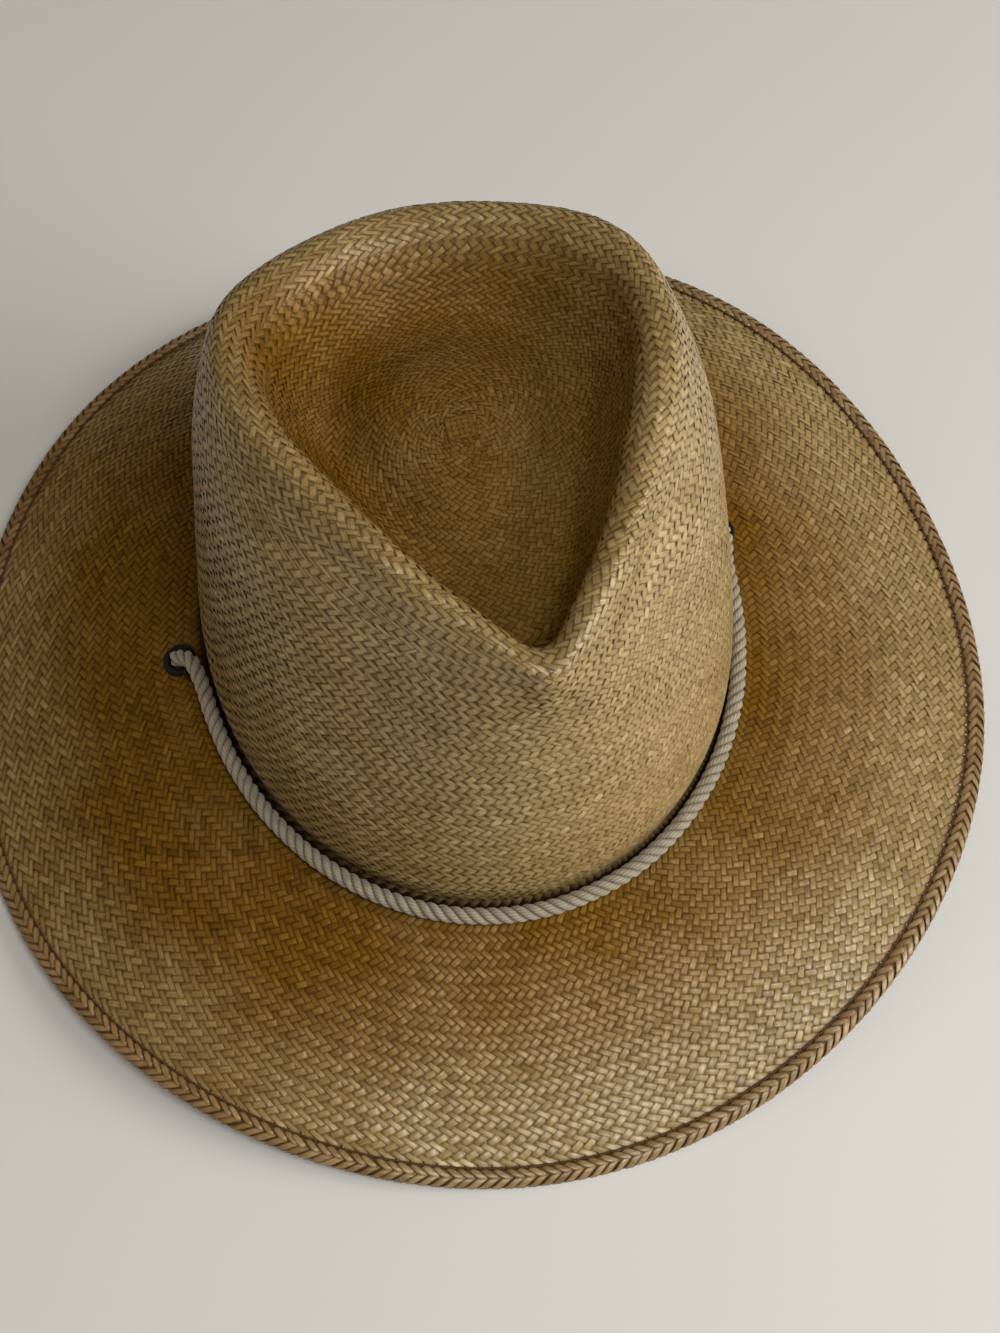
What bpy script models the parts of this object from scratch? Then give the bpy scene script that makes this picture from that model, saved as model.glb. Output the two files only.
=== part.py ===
# A straw hat with a teardrop crown, a plaited brim edge and a chin cord. Metres, +Z up.
# The front faces -Y, the wearer's left is +X, and the brim's edge rests on z = 0 at the front and back.
import math

import bmesh
import bpy
import numpy as np
from mathutils import Matrix, Vector

# Head oval, measured outside the crown where it meets the brim
HEAD_LENGTH = 0.203
HEAD_WIDTH = 0.171
BASE_FRONT_Z = 0.0267
BASE_SIDE_Z = 0.0280
BASE_BACK_Z = 0.0375

# Brim, in plan, with an edge that lifts between its four low places
BRIM_FRONT = 0.0825
BRIM_SIDE = 0.0889
BRIM_BACK = 0.0745
BRIM_DROOP = 1.15
EDGE_RIPPLE = 0.0100
EDGE_FRONT_Z = 0.0009
EDGE_SIDE_Z = 0.0021
EDGE_BACK_Z = 0.0004
BREAK_WIDTH = 0.0016
BREAK_RISE = 0.0032

# Teardrop ridge in plan: the pinch, then the wearer's left side to the back, all about the middle line
RIDGE_PLAN = ((0.0, -0.0865), (0.035, -0.044), (0.0608, 0.012), (0.0532, 0.056), (0.0, 0.0785))
PINCH_Z = 0.1450
RIDGE_SIDE_Z = 0.1560
RIDGE_BACK_Z = 0.1440
CROWN_LEAN = 0.0057
CROWN_TWIST = -0.040
PINCH_ROUND = 4.0
LIP_IN = 0.0075
LIP_DROP = 0.0028
SHOULDER_OUT = 0.0055
SHOULDER_DROP = 0.0042
WALL_TOP_OUT = 0.0076
WALL_CURVE = 1.5
DENT_DEPTH = 0.0040
DENT_ANGLE = 38.0
DENT_SPREAD = 16.0

# Fullness of the wall low down, on the wearer's left, at the front and back, and on the right, then high on the sides
FULL_LEFT = 0.0016
FULL_MIDDLE = 0.0028
FULL_RIGHT = 0.0022
FULL_HIGH = 0.0026

# Wall rows between the shoulder and the foot: height share, shares of the dent, the low and the high fullness, and
# how many degrees of the pinch are rounded off
WALL_ROWS = (
    (0.78, 1.0, 0.0, 1.0, 14.0),
    (0.55, 0.85, 0.4, 0.8, 22.0),
    (0.30, 0.2, 0.9, 0.2, 28.0),
    (0.12, 0.0, 1.0, 0.0, 30.0),
)

# Dished tip: a low dome round the button, inside a trench
TIP_Y = 0.0070
BUTTON_Z = 0.1310
TRENCH_Z = 0.1255
DOME_SHARE = 0.32
DOME_FALL = 0.0015
TRENCH_SHARE = 0.60
TRENCH_FRONT_SHARE = 0.80
TRENCH_FRONT_SPREAD = 32.0

# Walls and clearances
STRAW = 0.0014
FIT = 0.0003
SEAT = 0.0005

# Plaited edge band and its thread
BAND_WIDTH = 0.0080
BAND_THICK = 0.0032
EDGE_THREAD = 0.0008

# Sweatband
SWEATBAND_FOOT = 0.0040
SWEATBAND_HEIGHT = 0.0300
SWEATBAND_THICK = 0.0012
TAB_WIDTH = 0.0140
TAB_MARGIN = 0.0045
TAB_THICK = 0.0008
BAND_THREAD = 0.0006
BAND_THREAD_RISE = 0.0030

# Rope, eyelets and washers; the pair of eyelets sits a little turned and off to the wearer's right
ROPE = 0.0054
ROPE_OUT_FRONT = 0.0048
ROPE_OUT_SIDE = 0.0041
ROPE_BEND = ((93.0, 0.0067, 0.0061), (88.2, 0.0044, 0.0050), (81.5, 0.0041, 0.0040))
ROPE_RISE = 0.0012
ROPE_REST = (72, 60, 46, 31, 16)
EYELET_ANGLE = 95.9
EYELET_TURN = 0.7
EYELET_OUT = 0.0088
EYELET_SHIFT = 0.0018
EYELET_FLANGE = 0.0116
EYELET_FLANGE_THICK = 0.0013
EYELET_WALL = 0.0005
EYELET_ROLL = 0.0100
EYELET_ROLL_THICK = 0.0009
WASHER_OUT = 0.0120
WASHER_THICK = 0.0005

# Slider and knots of the chin cord, on two parallel runs behind the crown
RUN_Y = 0.1130
RUN_SPACING = 0.0090
RUN_HALF = 0.0420
SLIDER_LENGTH = 0.0150
SLIDER_WALL = 0.0026
SLIDER_ROUND = 0.0022
FLOOR_GAP = 0.0003
KNOT = 0.0110
KNOT_LENGTH = 0.0120
KNOT_TAIL = 0.0090

# Facets
MERIDIANS = 64
EDGE_STEPS = 96
SPAN_STEPS = 2
TURN_STEPS = 24
TUBE_ROUND = 2

BORE = ROPE + 2 * FIT
BARREL = BORE + 2 * EYELET_WALL
SLIDER_HEIGHT = BORE + 2 * SLIDER_WALL
RUN_Z = SLIDER_HEIGHT / 2 + FLOOR_GAP
FLOOR_Z = ROPE / 2 + FLOOR_GAP / 2

# Chin cord on the wearer's left: depths below the brim on the eyelet's axis, then points on the floor to the end of
# its run, as x, y, how much of the runs' spacing the other leg adds to y, and z
CHIN_DROP = (0.0004 + FIT, 0.0042, 0.0085)
CHIN_BEND = (
    (0.0945, 0.0200, 0.00, 0.0100),
    (0.1020, 0.0340, 0.00, 0.0045),
    (0.1120, 0.0540, 0.00, FLOOR_Z),
    (0.1110, 0.0770, 0.40, FLOOR_Z),
    (0.0970, 0.0960, 0.90, FLOOR_Z),
    (0.0800, 0.1070, 1.00, FLOOR_Z + 0.0012),
    (0.0630, RUN_Y - 0.0008, 1.03, RUN_Z - 0.0006),
    (0.0460, RUN_Y, 1.00, RUN_Z),
    (0.0300, RUN_Y, 1.00, RUN_Z),
    (-RUN_HALF, RUN_Y, 1.00, RUN_Z),
)


def around(phi, front, side, back):
    """A size that is stated at the front, at both sides and at the back."""
    mean = (front + back + 2 * side) / 4
    return mean + (front - back) / 2 * np.cos(phi) + ((front + back) / 2 - side) / 2 * np.cos(2 * phi)


def smooth(points, steps, before=None, after=None):
    """A curve that passes smoothly through the points, each of which may itself be an array."""
    p = [np.asarray(point, float) for point in points]
    p = [2 * p[0] - p[1] if before is None else np.asarray(before, float)] + p
    p.append(2 * p[-1] - p[-2] if after is None else np.asarray(after, float))
    counts = [steps] * (len(p) - 3) if isinstance(steps, int) else steps
    curve = []
    for i, count in enumerate(counts):
        a, b, c, d = p[i : i + 4]
        for t in np.arange(count) / count:
            bend = (2 * a - 5 * b + 4 * c - d) * t**2 + (3 * b - a - 3 * c + d) * t**3
            curve.append(b + ((c - a) * t + bend) / 2)
    curve.append(p[-2])
    return np.array(curve)


def head_oval(phi):
    return np.stack([HEAD_WIDTH / 2 * np.sin(phi), -HEAD_LENGTH / 2 * np.cos(phi)], -1)


def outward(phi):
    n = np.stack([HEAD_LENGTH * np.sin(phi), -HEAD_WIDTH * np.cos(phi)], -1)
    return n / np.linalg.norm(n, axis=-1, keepdims=True)


def base_z(phi):
    return around(phi, BASE_FRONT_Z, BASE_SIDE_Z, BASE_BACK_Z)


def brim_width(phi):
    return around(phi, BRIM_FRONT, BRIM_SIDE, BRIM_BACK)


def brim_edge_z(phi):
    resting = around(phi, EDGE_FRONT_Z, EDGE_SIDE_Z, EDGE_BACK_Z)
    return resting + EDGE_RIPPLE * (1 - np.cos(4 * phi)) / 2


def brim_point(phi, out):
    """The brim's upper face, this far out from the head oval in plan."""
    phi, out = np.broadcast_arrays(np.asarray(phi, float), np.asarray(out, float))
    drop = (base_z(phi) - brim_edge_z(phi)) * (out / brim_width(phi)) ** BRIM_DROOP
    plan = head_oval(phi) + outward(phi) * out[..., None]
    return np.concatenate([plan, (base_z(phi) - drop)[..., None]], -1)


def brim_slope(phi):
    """How steeply the brim falls at its edge, in radians."""
    fall = BRIM_DROOP * (base_z(phi) - brim_edge_z(phi)) / brim_width(phi)
    return np.arctan(fall)


def body_edge(phi):
    """How far out the woven body ends, where the edge band begins."""
    return brim_width(phi) - (BAND_WIDTH + FIT) * np.cos(brim_slope(phi))


def ridge(phi):
    """The crest of the crown at each angle about the tip, with the lean left out."""
    back_side = (-RIDGE_PLAN[3][0], RIDGE_PLAN[3][1])
    half = smooth(RIDGE_PLAN, 24, after=back_side)
    angle = np.arctan2(half[:, 0], TIP_Y - half[:, 1])
    reach = np.hypot(half[:, 0], half[:, 1] - TIP_Y)
    turned = np.abs((phi + np.pi) % (2 * np.pi) - np.pi)
    radius = np.interp(turned, angle, reach)
    x = radius * np.sin(phi)
    y = TIP_Y - radius * np.cos(phi)
    pinch_y, back_y = RIDGE_PLAN[0][1], RIDGE_PLAN[-1][1]
    k = np.clip((y - pinch_y) / (back_y - pinch_y), 0, 1)
    bow = RIDGE_SIDE_Z - (PINCH_Z + RIDGE_BACK_Z) / 2
    z = PINCH_Z + (RIDGE_BACK_Z - PINCH_Z) * k + bow * 4 * k * (1 - k)
    return np.stack([x, y, z], -1)


def rounded_ridge(phi, degrees):
    """The crest with its sharp pinch rounded off over this many degrees to each side."""
    reach = np.radians(np.linspace(-degrees, degrees, 9))
    return np.mean([ridge(phi + step) for step in reach], axis=0)


def bell(phi, centre, spread):
    """One at this many degrees to either side of the front, falling off smoothly."""
    turned = np.degrees(np.abs((phi + np.pi) % (2 * np.pi) - np.pi))
    return np.exp(-(((turned - centre) / spread) ** 2))


def crown_rows(phi):
    """Control rows of the crown from the button out to the brim's break, each an array over the angles."""
    crest = rounded_ridge(phi, PINCH_ROUND)
    tip = np.array([0.0, TIP_Y])
    from_tip = crest[:, :2] - tip

    def tip_row(share, z):
        plan = tip + from_tip * np.reshape(share, (-1, 1))
        return np.column_stack([plan, np.broadcast_to(z, len(phi))])

    trench = TRENCH_SHARE + (TRENCH_FRONT_SHARE - TRENCH_SHARE) * bell(phi, 0, TRENCH_FRONT_SPREAD)
    slope_share = (trench + 1) / 2
    slope_z = TRENCH_Z + 0.5 * (crest[:, 2] - TRENCH_Z)
    lip = 1 - LIP_IN / np.linalg.norm(from_tip, axis=1)
    rows = [
        tip_row(np.zeros(len(phi)), BUTTON_Z),
        tip_row(np.full(len(phi), DOME_SHARE), BUTTON_Z - DOME_FALL),
        tip_row(trench, TRENCH_Z),
        tip_row(slope_share, slope_z),
        tip_row(lip, crest[:, 2] - LIP_DROP),
        crest,
    ]
    base = head_oval(phi)
    foot = base_z(phi)
    out = base - crest[:, :2]
    out /= np.linalg.norm(out, axis=1, keepdims=True)
    rows.append(np.column_stack([crest[:, :2] + out * SHOULDER_OUT, crest[:, 2] - SHOULDER_DROP]))
    dent = DENT_DEPTH * bell(phi, DENT_ANGLE, DENT_SPREAD)
    full = around(phi - np.pi / 2, FULL_LEFT, FULL_MIDDLE, FULL_RIGHT)
    full_high = FULL_HIGH * np.sin(phi) ** 2
    for t, dented, low, high, degrees in WALL_ROWS:
        top = rounded_ridge(phi, degrees)[:, :2] + out * WALL_TOP_OUT
        swell = full * low + full_high * high - dent * dented
        plan = base + (top - base) * t**WALL_CURVE + outward(phi) * swell[:, None]
        rows.append(np.column_stack([plan, foot + (crest[:, 2] - foot) * t]))
    rows.append(np.column_stack([base, foot + BREAK_RISE]))
    return rows


def leaned(points):
    """The crown leans to the wearer's left, more the higher it is and the nearer the front."""
    points = np.array(points)
    share = np.clip((points[..., 2] - BASE_SIDE_Z) / (RIDGE_SIDE_Z - BASE_SIDE_Z), 0, 1)
    points[..., 0] += (CROWN_LEAN + CROWN_TWIST * points[..., 1]) * share
    return points


def body_grid(phi):
    """Rows of points over the woven body's upper face, from the button to the edge."""
    rows = crown_rows(phi)
    reach = body_edge(phi)
    for out in (BREAK_WIDTH + 0 * reach, 0.22 * reach, 0.5 * reach, 0.76 * reach, reach):
        rows.append(brim_point(phi, out))
    return leaned(smooth(rows, SPAN_STEPS))


def material(name, colour, roughness, metallic=0.0):
    found = bpy.data.materials.get(name) or bpy.data.materials.new(name)
    found.use_nodes = True
    shader = found.node_tree.nodes["Principled BSDF"]
    shader.inputs["Base Color"].default_value = (*colour, 1)
    shader.inputs["Roughness"].default_value = roughness
    shader.inputs["Metallic"].default_value = metallic
    return found


def add_part(name, data, finish, place=None):
    piece = bpy.data.objects.new(name, data)
    HAT.objects.link(piece)
    data.materials.append(finish)
    if place is not None:
        piece.matrix_world = place
    return piece


def finish_mesh(name, bm):
    mesh = bpy.data.meshes.new(name)
    bmesh.ops.recalc_face_normals(bm, faces=bm.faces)
    bm.to_mesh(mesh)
    bm.free()
    mesh.shade_smooth()
    return mesh


def loft(name, rows, closed_round=True, pole=False, tube=False):
    """Faces between rows of points. A pole closes the first row to a point, and a tube joins the last row to the first."""
    bm = bmesh.new()
    loops = []
    for i, row in enumerate(rows):
        if pole and i == 0:
            loops.append([bm.verts.new(row[0])] * len(row))
        else:
            loops.append([bm.verts.new(point) for point in row])
    if tube:
        loops.append(loops[0])
    count = len(rows[0])
    for inner, outer in zip(loops, loops[1:]):
        for i in range(count if closed_round else count - 1):
            j = (i + 1) % count
            corners = [inner[i], outer[i], outer[j], inner[j]]
            bm.faces.new(list(dict.fromkeys(corners)))
    return finish_mesh(name, bm)


def angles(count):
    return np.arange(count) * 2 * np.pi / count


def solidify(piece, thickness, offset):
    shell = piece.modifiers.new("Wall", "SOLIDIFY")
    shell.thickness = thickness
    shell.offset = offset
    shell.use_even_offset = True


def eyelet_place(side):
    """The eyelet's own frame on the brim: +Z out of the upper face."""
    phi = math.radians(side * EYELET_ANGLE + EYELET_TURN)
    out = EYELET_OUT - side * EYELET_SHIFT
    step = 0.002
    here = brim_point(phi, out)
    along = brim_point(phi + 0.02, out) - brim_point(phi - 0.02, out)
    outwards = brim_point(phi, out + step) - brim_point(phi, out - step)
    normal = Vector(np.cross(outwards, along)).normalized()
    turn = normal.to_track_quat("Z", "Y").to_matrix().to_4x4()
    return Matrix.Translation(Vector(here)) @ turn


def straw_body():
    mesh = loft("straw_body", body_grid(angles(MERIDIANS)), pole=True)
    piece = add_part("straw_body", mesh, material("woven_palm_straw", (0.36, 0.23, 0.10), 0.55))
    solidify(piece, STRAW, -1)
    for side, name in ((-1, "eyelet_hole_right"), (1, "eyelet_hole_left")):
        bpy.ops.mesh.primitive_cylinder_add(vertices=TURN_STEPS, radius=BARREL / 2 + SEAT, depth=6 * STRAW)
        cutter = bpy.context.object
        cutter.name = name
        cutter.matrix_world = eyelet_place(side)
        cutter.hide_render = True
        cutter.display_type = "WIRE"
        for owner in cutter.users_collection:
            owner.objects.unlink(cutter)
        CUTTERS.objects.link(cutter)
        cut = piece.modifiers.new(name, "BOOLEAN")
        cut.object = cutter


def edge_frame(phi):
    """Along the brim outwards, and out of its upper face, at the edge."""
    slope = brim_slope(phi)[:, None]
    plan = outward(phi)
    along = np.concatenate([plan * np.cos(slope), -np.sin(slope)], 1)
    up = np.concatenate([plan * np.sin(slope), np.cos(slope)], 1)
    return along, up


def brim_edge_band():
    phi = angles(EDGE_STEPS)
    along, up = edge_frame(phi)
    middle = brim_point(phi, body_edge(phi)) + along * (FIT + BAND_WIDTH / 2) - up * STRAW / 2
    rows = []
    for turn in np.arange(12) * math.pi / 6:
        across = math.copysign(abs(math.cos(turn)) ** 0.6, math.cos(turn)) * BAND_WIDTH / 2
        rise = math.copysign(abs(math.sin(turn)) ** 0.7, math.sin(turn)) * BAND_THICK / 2
        row = middle + along * across + up * rise
        row[:, 2] = np.maximum(row[:, 2], 0)
        rows.append(row)
    mesh = loft("brim_edge_band", rows, tube=True)
    add_part("brim_edge_band", mesh, material("plaited_palm_straw", (0.34, 0.21, 0.09), 0.6))


def tube(name, points, diameter, finish, cyclic=False, sides=TUBE_ROUND):
    curve = bpy.data.curves.new(name, "CURVE")
    curve.dimensions = "3D"
    curve.bevel_depth = diameter / 2
    curve.bevel_resolution = sides
    curve.use_fill_caps = not cyclic
    spline = curve.splines.new("POLY")
    spline.points.add(len(points) - 1)
    for spot, point in zip(spline.points, points):
        spot.co = (*point, 1)
    spline.use_cyclic_u = cyclic
    return add_part(name, curve, finish)


def edge_thread():
    phi = angles(EDGE_STEPS)
    along, up = edge_frame(phi)
    seat = brim_point(phi, body_edge(phi)) + along * FIT / 2 + up * (EDGE_THREAD / 2 + FIT)
    tube("edge_thread", seat, EDGE_THREAD, material("brown_thread", (0.16, 0.09, 0.04), 0.8), True, 0)


def wall_inside(phi, rise, depth):
    """Points this high over the crown's foot and this deep in from its outer face."""
    grid = body_grid(phi)
    wall = grid[6 * SPAN_STEPS : 12 * SPAN_STEPS + 1][::-1]
    rows = []
    for height in rise:
        level = base_z(phi) + height
        plan = [
            [np.interp(level[i], wall[:, i, 2], wall[:, i, axis]) for axis in (0, 1)] for i in range(len(phi))
        ]
        rows.append(np.column_stack([np.array(plan) - outward(phi) * depth, level]))
    return rows


def sweatband_rise():
    return np.linspace(SWEATBAND_FOOT, SWEATBAND_FOOT + SWEATBAND_HEIGHT, 5)


def sweatband():
    cloth = material("sweatband_cotton", (0.30, 0.24, 0.17), 0.9)
    depth = STRAW + SEAT
    mesh = loft("sweatband", wall_inside(angles(MERIDIANS), sweatband_rise(), depth + SWEATBAND_THICK))
    solidify(add_part("sweatband", mesh, cloth), SWEATBAND_THICK, 1)
    inner_face = depth + SWEATBAND_THICK + SEAT
    half = TAB_WIDTH / HEAD_WIDTH
    phi = math.pi + np.linspace(-half, half, 5)
    rise = np.linspace(sweatband_rise()[0] + TAB_MARGIN, sweatband_rise()[-1] - TAB_MARGIN, 4)
    mesh = loft("sweatband_tab", wall_inside(phi, rise, inner_face + TAB_THICK), closed_round=False)
    solidify(add_part("sweatband_tab", mesh, cloth), TAB_THICK, 1)
    stitched = [SWEATBAND_FOOT + BAND_THREAD_RISE]
    seat = wall_inside(angles(MERIDIANS), stitched, inner_face + BAND_THREAD / 2)[0]
    tube("sweatband_thread", seat, BAND_THREAD, material("pale_thread", (0.5, 0.42, 0.3), 0.8), True, 0)


def turned(name, profile, finish, place):
    """A ring turned about its own Z from a closed profile that runs down its outer side and up its bore."""
    bm = bmesh.new()
    verts = [bm.verts.new((radius, 0, z)) for radius, z in profile]
    for i, vert in enumerate(verts):
        bm.edges.new((vert, verts[(i + 1) % len(verts)]))
    mesh = bpy.data.meshes.new(name)
    bm.to_mesh(mesh)
    bm.free()
    piece = add_part(name, mesh, finish, place)
    spin = piece.modifiers.new("Turn", "SCREW")
    spin.steps = spin.render_steps = TURN_STEPS
    spin.use_merge_vertices = True
    spin.merge_threshold = 0.00001
    spin.use_smooth_shade = True
    return piece


def eyelets():
    black = material("black_enamelled_brass", (0.012, 0.012, 0.013), 0.3, 0.6)
    seat_z = SEAT
    washer_z = -STRAW - SEAT
    roll_z = washer_z - WASHER_THICK - FIT
    bore, barrel, flange, roll = BORE / 2, BARREL / 2, EYELET_FLANGE / 2, EYELET_ROLL / 2
    top_z = seat_z + EYELET_FLANGE_THICK
    profile = [
        (bore + 0.0003, top_z - 0.0001),
        (bore + 0.0010, top_z),
        (flange - 0.0007, top_z - 0.0003),
        (flange, top_z - 0.0008),
        (flange - 0.0003, seat_z),
        (barrel, seat_z),
        (barrel, roll_z),
        (roll, roll_z),
        (roll, roll_z - EYELET_ROLL_THICK / 2),
        (roll - 0.0006, roll_z - EYELET_ROLL_THICK),
        (bore + 0.0003, roll_z - EYELET_ROLL_THICK),
        (bore, roll_z - EYELET_ROLL_THICK / 2),
        (bore, top_z - 0.0006),
    ]
    ring = [
        (WASHER_OUT / 2, washer_z),
        (WASHER_OUT / 2, washer_z - WASHER_THICK),
        (barrel + FIT, washer_z - WASHER_THICK),
        (barrel + FIT, washer_z),
    ]
    for side, word in ((1, "left"), (-1, "right")):
        turned("eyelet_" + word, profile, black, eyelet_place(side))
        turned("eyelet_washer_" + word, ring, black, eyelet_place(side))


def on_axis(side, height):
    """A point on an eyelet's axis, this far above the brim."""
    return np.array(eyelet_place(side) @ Vector((0, 0, height)))


def beside_crown(degrees, out, height):
    """A point over the brim beside the crown."""
    point = brim_point(math.radians(degrees), out)
    return point + np.array([0, 0, height])


def resting(degrees):
    """The rope's middle on the brim, nearer the crown at the sides than at the front."""
    share = math.cos(math.radians(degrees)) ** 2
    out = ROPE_OUT_SIDE + (ROPE_OUT_FRONT - ROPE_OUT_SIDE) * share
    return beside_crown(degrees, out, ROPE / 2 + SEAT)


def cord_half(side):
    """Up out of the eyelet, over to the crown, then round it to near the front."""
    half = [on_axis(side, SEAT - FIT), on_axis(side, SEAT + EYELET_FLANGE_THICK + ROPE_RISE)]
    half += [beside_crown(side * degrees, out, height) for degrees, out, height in ROPE_BEND]
    return half + [resting(side * degrees) for degrees in ROPE_REST]


def crown_cord(rope):
    route = [*cord_half(1), resting(0), *cord_half(-1)[::-1]]
    steps = [1, 3, 2, 2] + [2] * (len(route) - 9) + [2, 2, 3, 1]
    tube("crown_cord", smooth(route, steps), ROPE, rope)


def chin_route(side):
    """One leg of the chin cord: down from its eyelet, back under the brim, then along its run."""
    beyond = RUN_SPACING if side < 0 else 0
    start = [on_axis(side, -depth) for depth in CHIN_DROP]
    return start + [np.array((side * x, y + share * beyond, z)) for x, y, share, z in CHIN_BEND]


def chin_cords(rope):
    for side, word in ((1, "left"), (-1, "right")):
        route = chin_route(side)
        curve = smooth(route[:-1], [1, 2, 3, 3, 3, 2, 2, 3, 2, 2, 1], after=route[-1])
        points = np.vstack([curve, route[-1]])
        tube("chin_cord_" + word, points, ROPE, rope)
        knot_at = Vector(route[-1]) + Vector((-side * FIT, 0, 0))
        place = Matrix.Translation(knot_at) @ Matrix.Rotation(-side * math.pi / 2, 4, "Y")
        cord_knot("cord_knot_" + word, place, rope)


def cord_knot(name, place, rope):
    """A tied end, swollen at the knot and a little spread at its cut tail, along its own +Z."""
    bulb, end = KNOT_LENGTH, KNOT_LENGTH + KNOT_TAIL
    half, thin = KNOT / 2, ROPE / 2
    outline = [(end, thin * 1.15), (bulb + 0.0015, thin), (0.86 * bulb, 0.8 * half), (0.5 * bulb, half)]
    outline += [(0.16 * bulb, 0.82 * half), (0.0, 0.9 * thin)]
    bm = bmesh.new()
    path = [bm.verts.new((0, 0, end))]
    path += [bm.verts.new((radius, 0, z)) for z, radius in outline]
    path.append(bm.verts.new((0, 0, 0)))
    for a, b in zip(path, path[1:]):
        bm.edges.new((a, b))
    mesh = bpy.data.meshes.new(name)
    bm.to_mesh(mesh)
    bm.free()
    piece = add_part(name, mesh, rope, place)
    spin = piece.modifiers.new("Turn", "SCREW")
    spin.steps = spin.render_steps = 12
    spin.use_merge_vertices = True
    spin.merge_threshold = 0.00001
    spin.use_smooth_shade = True


def cord_slider():
    centre = Vector((0, RUN_Y + RUN_SPACING / 2, RUN_Z))
    width = RUN_SPACING + BORE + 2 * SLIDER_WALL
    bm = bmesh.new()
    bmesh.ops.create_cube(bm, size=1)
    bmesh.ops.scale(bm, vec=(SLIDER_LENGTH, width, SLIDER_HEIGHT), verts=bm.verts)
    mesh = finish_mesh("cord_slider", bm)
    wood = material("turned_beech", (0.30, 0.17, 0.08), 0.5)
    piece = add_part("cord_slider", mesh, wood, Matrix.Translation(centre))
    rounding = piece.modifiers.new("Rounding", "BEVEL")
    rounding.width = SLIDER_ROUND
    rounding.segments = 3
    for side in (-1, 1):
        bpy.ops.mesh.primitive_cylinder_add(vertices=TURN_STEPS, radius=BORE / 2, depth=2 * SLIDER_LENGTH)
        cutter = bpy.context.object
        cutter.name = "slider_bore_" + ("inner" if side < 0 else "outer")
        spot = centre + Vector((0, side * RUN_SPACING / 2, 0))
        cutter.matrix_world = Matrix.Translation(spot) @ Matrix.Rotation(math.pi / 2, 4, "Y")
        cutter.hide_render = True
        cutter.display_type = "WIRE"
        for owner in cutter.users_collection:
            owner.objects.unlink(cutter)
        CUTTERS.objects.link(cutter)
        bore = piece.modifiers.new(cutter.name, "BOOLEAN")
        bore.object = cutter


for old in list(bpy.data.objects):
    bpy.data.objects.remove(old, do_unlink=True)
HAT = bpy.data.collections.new("fedora_hat")
CUTTERS = bpy.data.collections.new("cutters")
bpy.context.scene.collection.children.link(HAT)
bpy.context.scene.collection.children.link(CUTTERS)

straw_body()
brim_edge_band()
edge_thread()
sweatband()
eyelets()
COTTON = material("laid_cotton_rope", (0.48, 0.42, 0.34), 0.9)
crown_cord(COTTON)
chin_cords(COTTON)
cord_slider()

# The origin lies under the middle of the brim rather than under the middle of the head
for piece in [*HAT.objects, *CUTTERS.objects]:
    piece.location.y += (BRIM_FRONT - BRIM_BACK) / 2
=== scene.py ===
# How the straw hat looks: woven palm strips, a plaited brim edge, laid cotton rope and black eyelets.
import math

import bmesh
import bpy
import numpy as np
from mathutils import Matrix, Vector


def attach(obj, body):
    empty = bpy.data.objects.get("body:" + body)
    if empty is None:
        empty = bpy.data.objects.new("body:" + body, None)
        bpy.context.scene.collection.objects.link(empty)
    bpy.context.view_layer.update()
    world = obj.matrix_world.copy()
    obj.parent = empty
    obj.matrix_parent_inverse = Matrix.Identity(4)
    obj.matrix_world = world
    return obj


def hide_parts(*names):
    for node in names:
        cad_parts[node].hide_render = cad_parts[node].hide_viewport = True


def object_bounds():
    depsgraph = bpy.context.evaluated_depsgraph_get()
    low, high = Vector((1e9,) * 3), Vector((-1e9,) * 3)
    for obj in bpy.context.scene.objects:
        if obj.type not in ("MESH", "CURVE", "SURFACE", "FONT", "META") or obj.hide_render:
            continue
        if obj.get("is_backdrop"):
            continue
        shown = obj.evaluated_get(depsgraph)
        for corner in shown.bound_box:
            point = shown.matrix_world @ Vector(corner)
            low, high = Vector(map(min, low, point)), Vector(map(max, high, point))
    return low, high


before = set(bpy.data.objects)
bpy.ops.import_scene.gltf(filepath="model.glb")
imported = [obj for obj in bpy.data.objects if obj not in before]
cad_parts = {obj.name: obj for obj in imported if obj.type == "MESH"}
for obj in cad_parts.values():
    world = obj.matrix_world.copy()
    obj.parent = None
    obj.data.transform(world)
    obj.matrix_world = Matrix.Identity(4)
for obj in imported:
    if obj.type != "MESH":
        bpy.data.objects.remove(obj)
CAD_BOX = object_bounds()
SCENE = bpy.context.scene

# The hat's own sizes, as the model has them, in metres
HEAD_LENGTH = 0.203
HEAD_WIDTH = 0.171
BASE_FRONT_Z = 0.0267
BASE_SIDE_Z = 0.0280
BASE_BACK_Z = 0.0375
BRIM_FRONT = 0.0825
BRIM_SIDE = 0.0889
BRIM_BACK = 0.0745
BRIM_DROOP = 1.15
EDGE_RIPPLE = 0.0100
EDGE_FRONT_Z = 0.0009
EDGE_SIDE_Z = 0.0021
EDGE_BACK_Z = 0.0004
BREAK_WIDTH = 0.0016
BREAK_RISE = 0.0032
RIDGE_PLAN = ((0.0, -0.0865), (0.035, -0.044), (0.0608, 0.012), (0.0532, 0.056), (0.0, 0.0785))
PINCH_Z = 0.1450
RIDGE_SIDE_Z = 0.1560
RIDGE_BACK_Z = 0.1440
CROWN_LEAN = 0.0057
CROWN_TWIST = -0.040
PINCH_ROUND = 4.0
LIP_IN = 0.0075
LIP_DROP = 0.0028
SHOULDER_OUT = 0.0055
SHOULDER_DROP = 0.0042
WALL_TOP_OUT = 0.0076
WALL_CURVE = 1.5
DENT_DEPTH = 0.0040
DENT_ANGLE = 38.0
DENT_SPREAD = 16.0
FULL_LEFT = 0.0016
FULL_MIDDLE = 0.0028
FULL_RIGHT = 0.0022
FULL_HIGH = 0.0026
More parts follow.
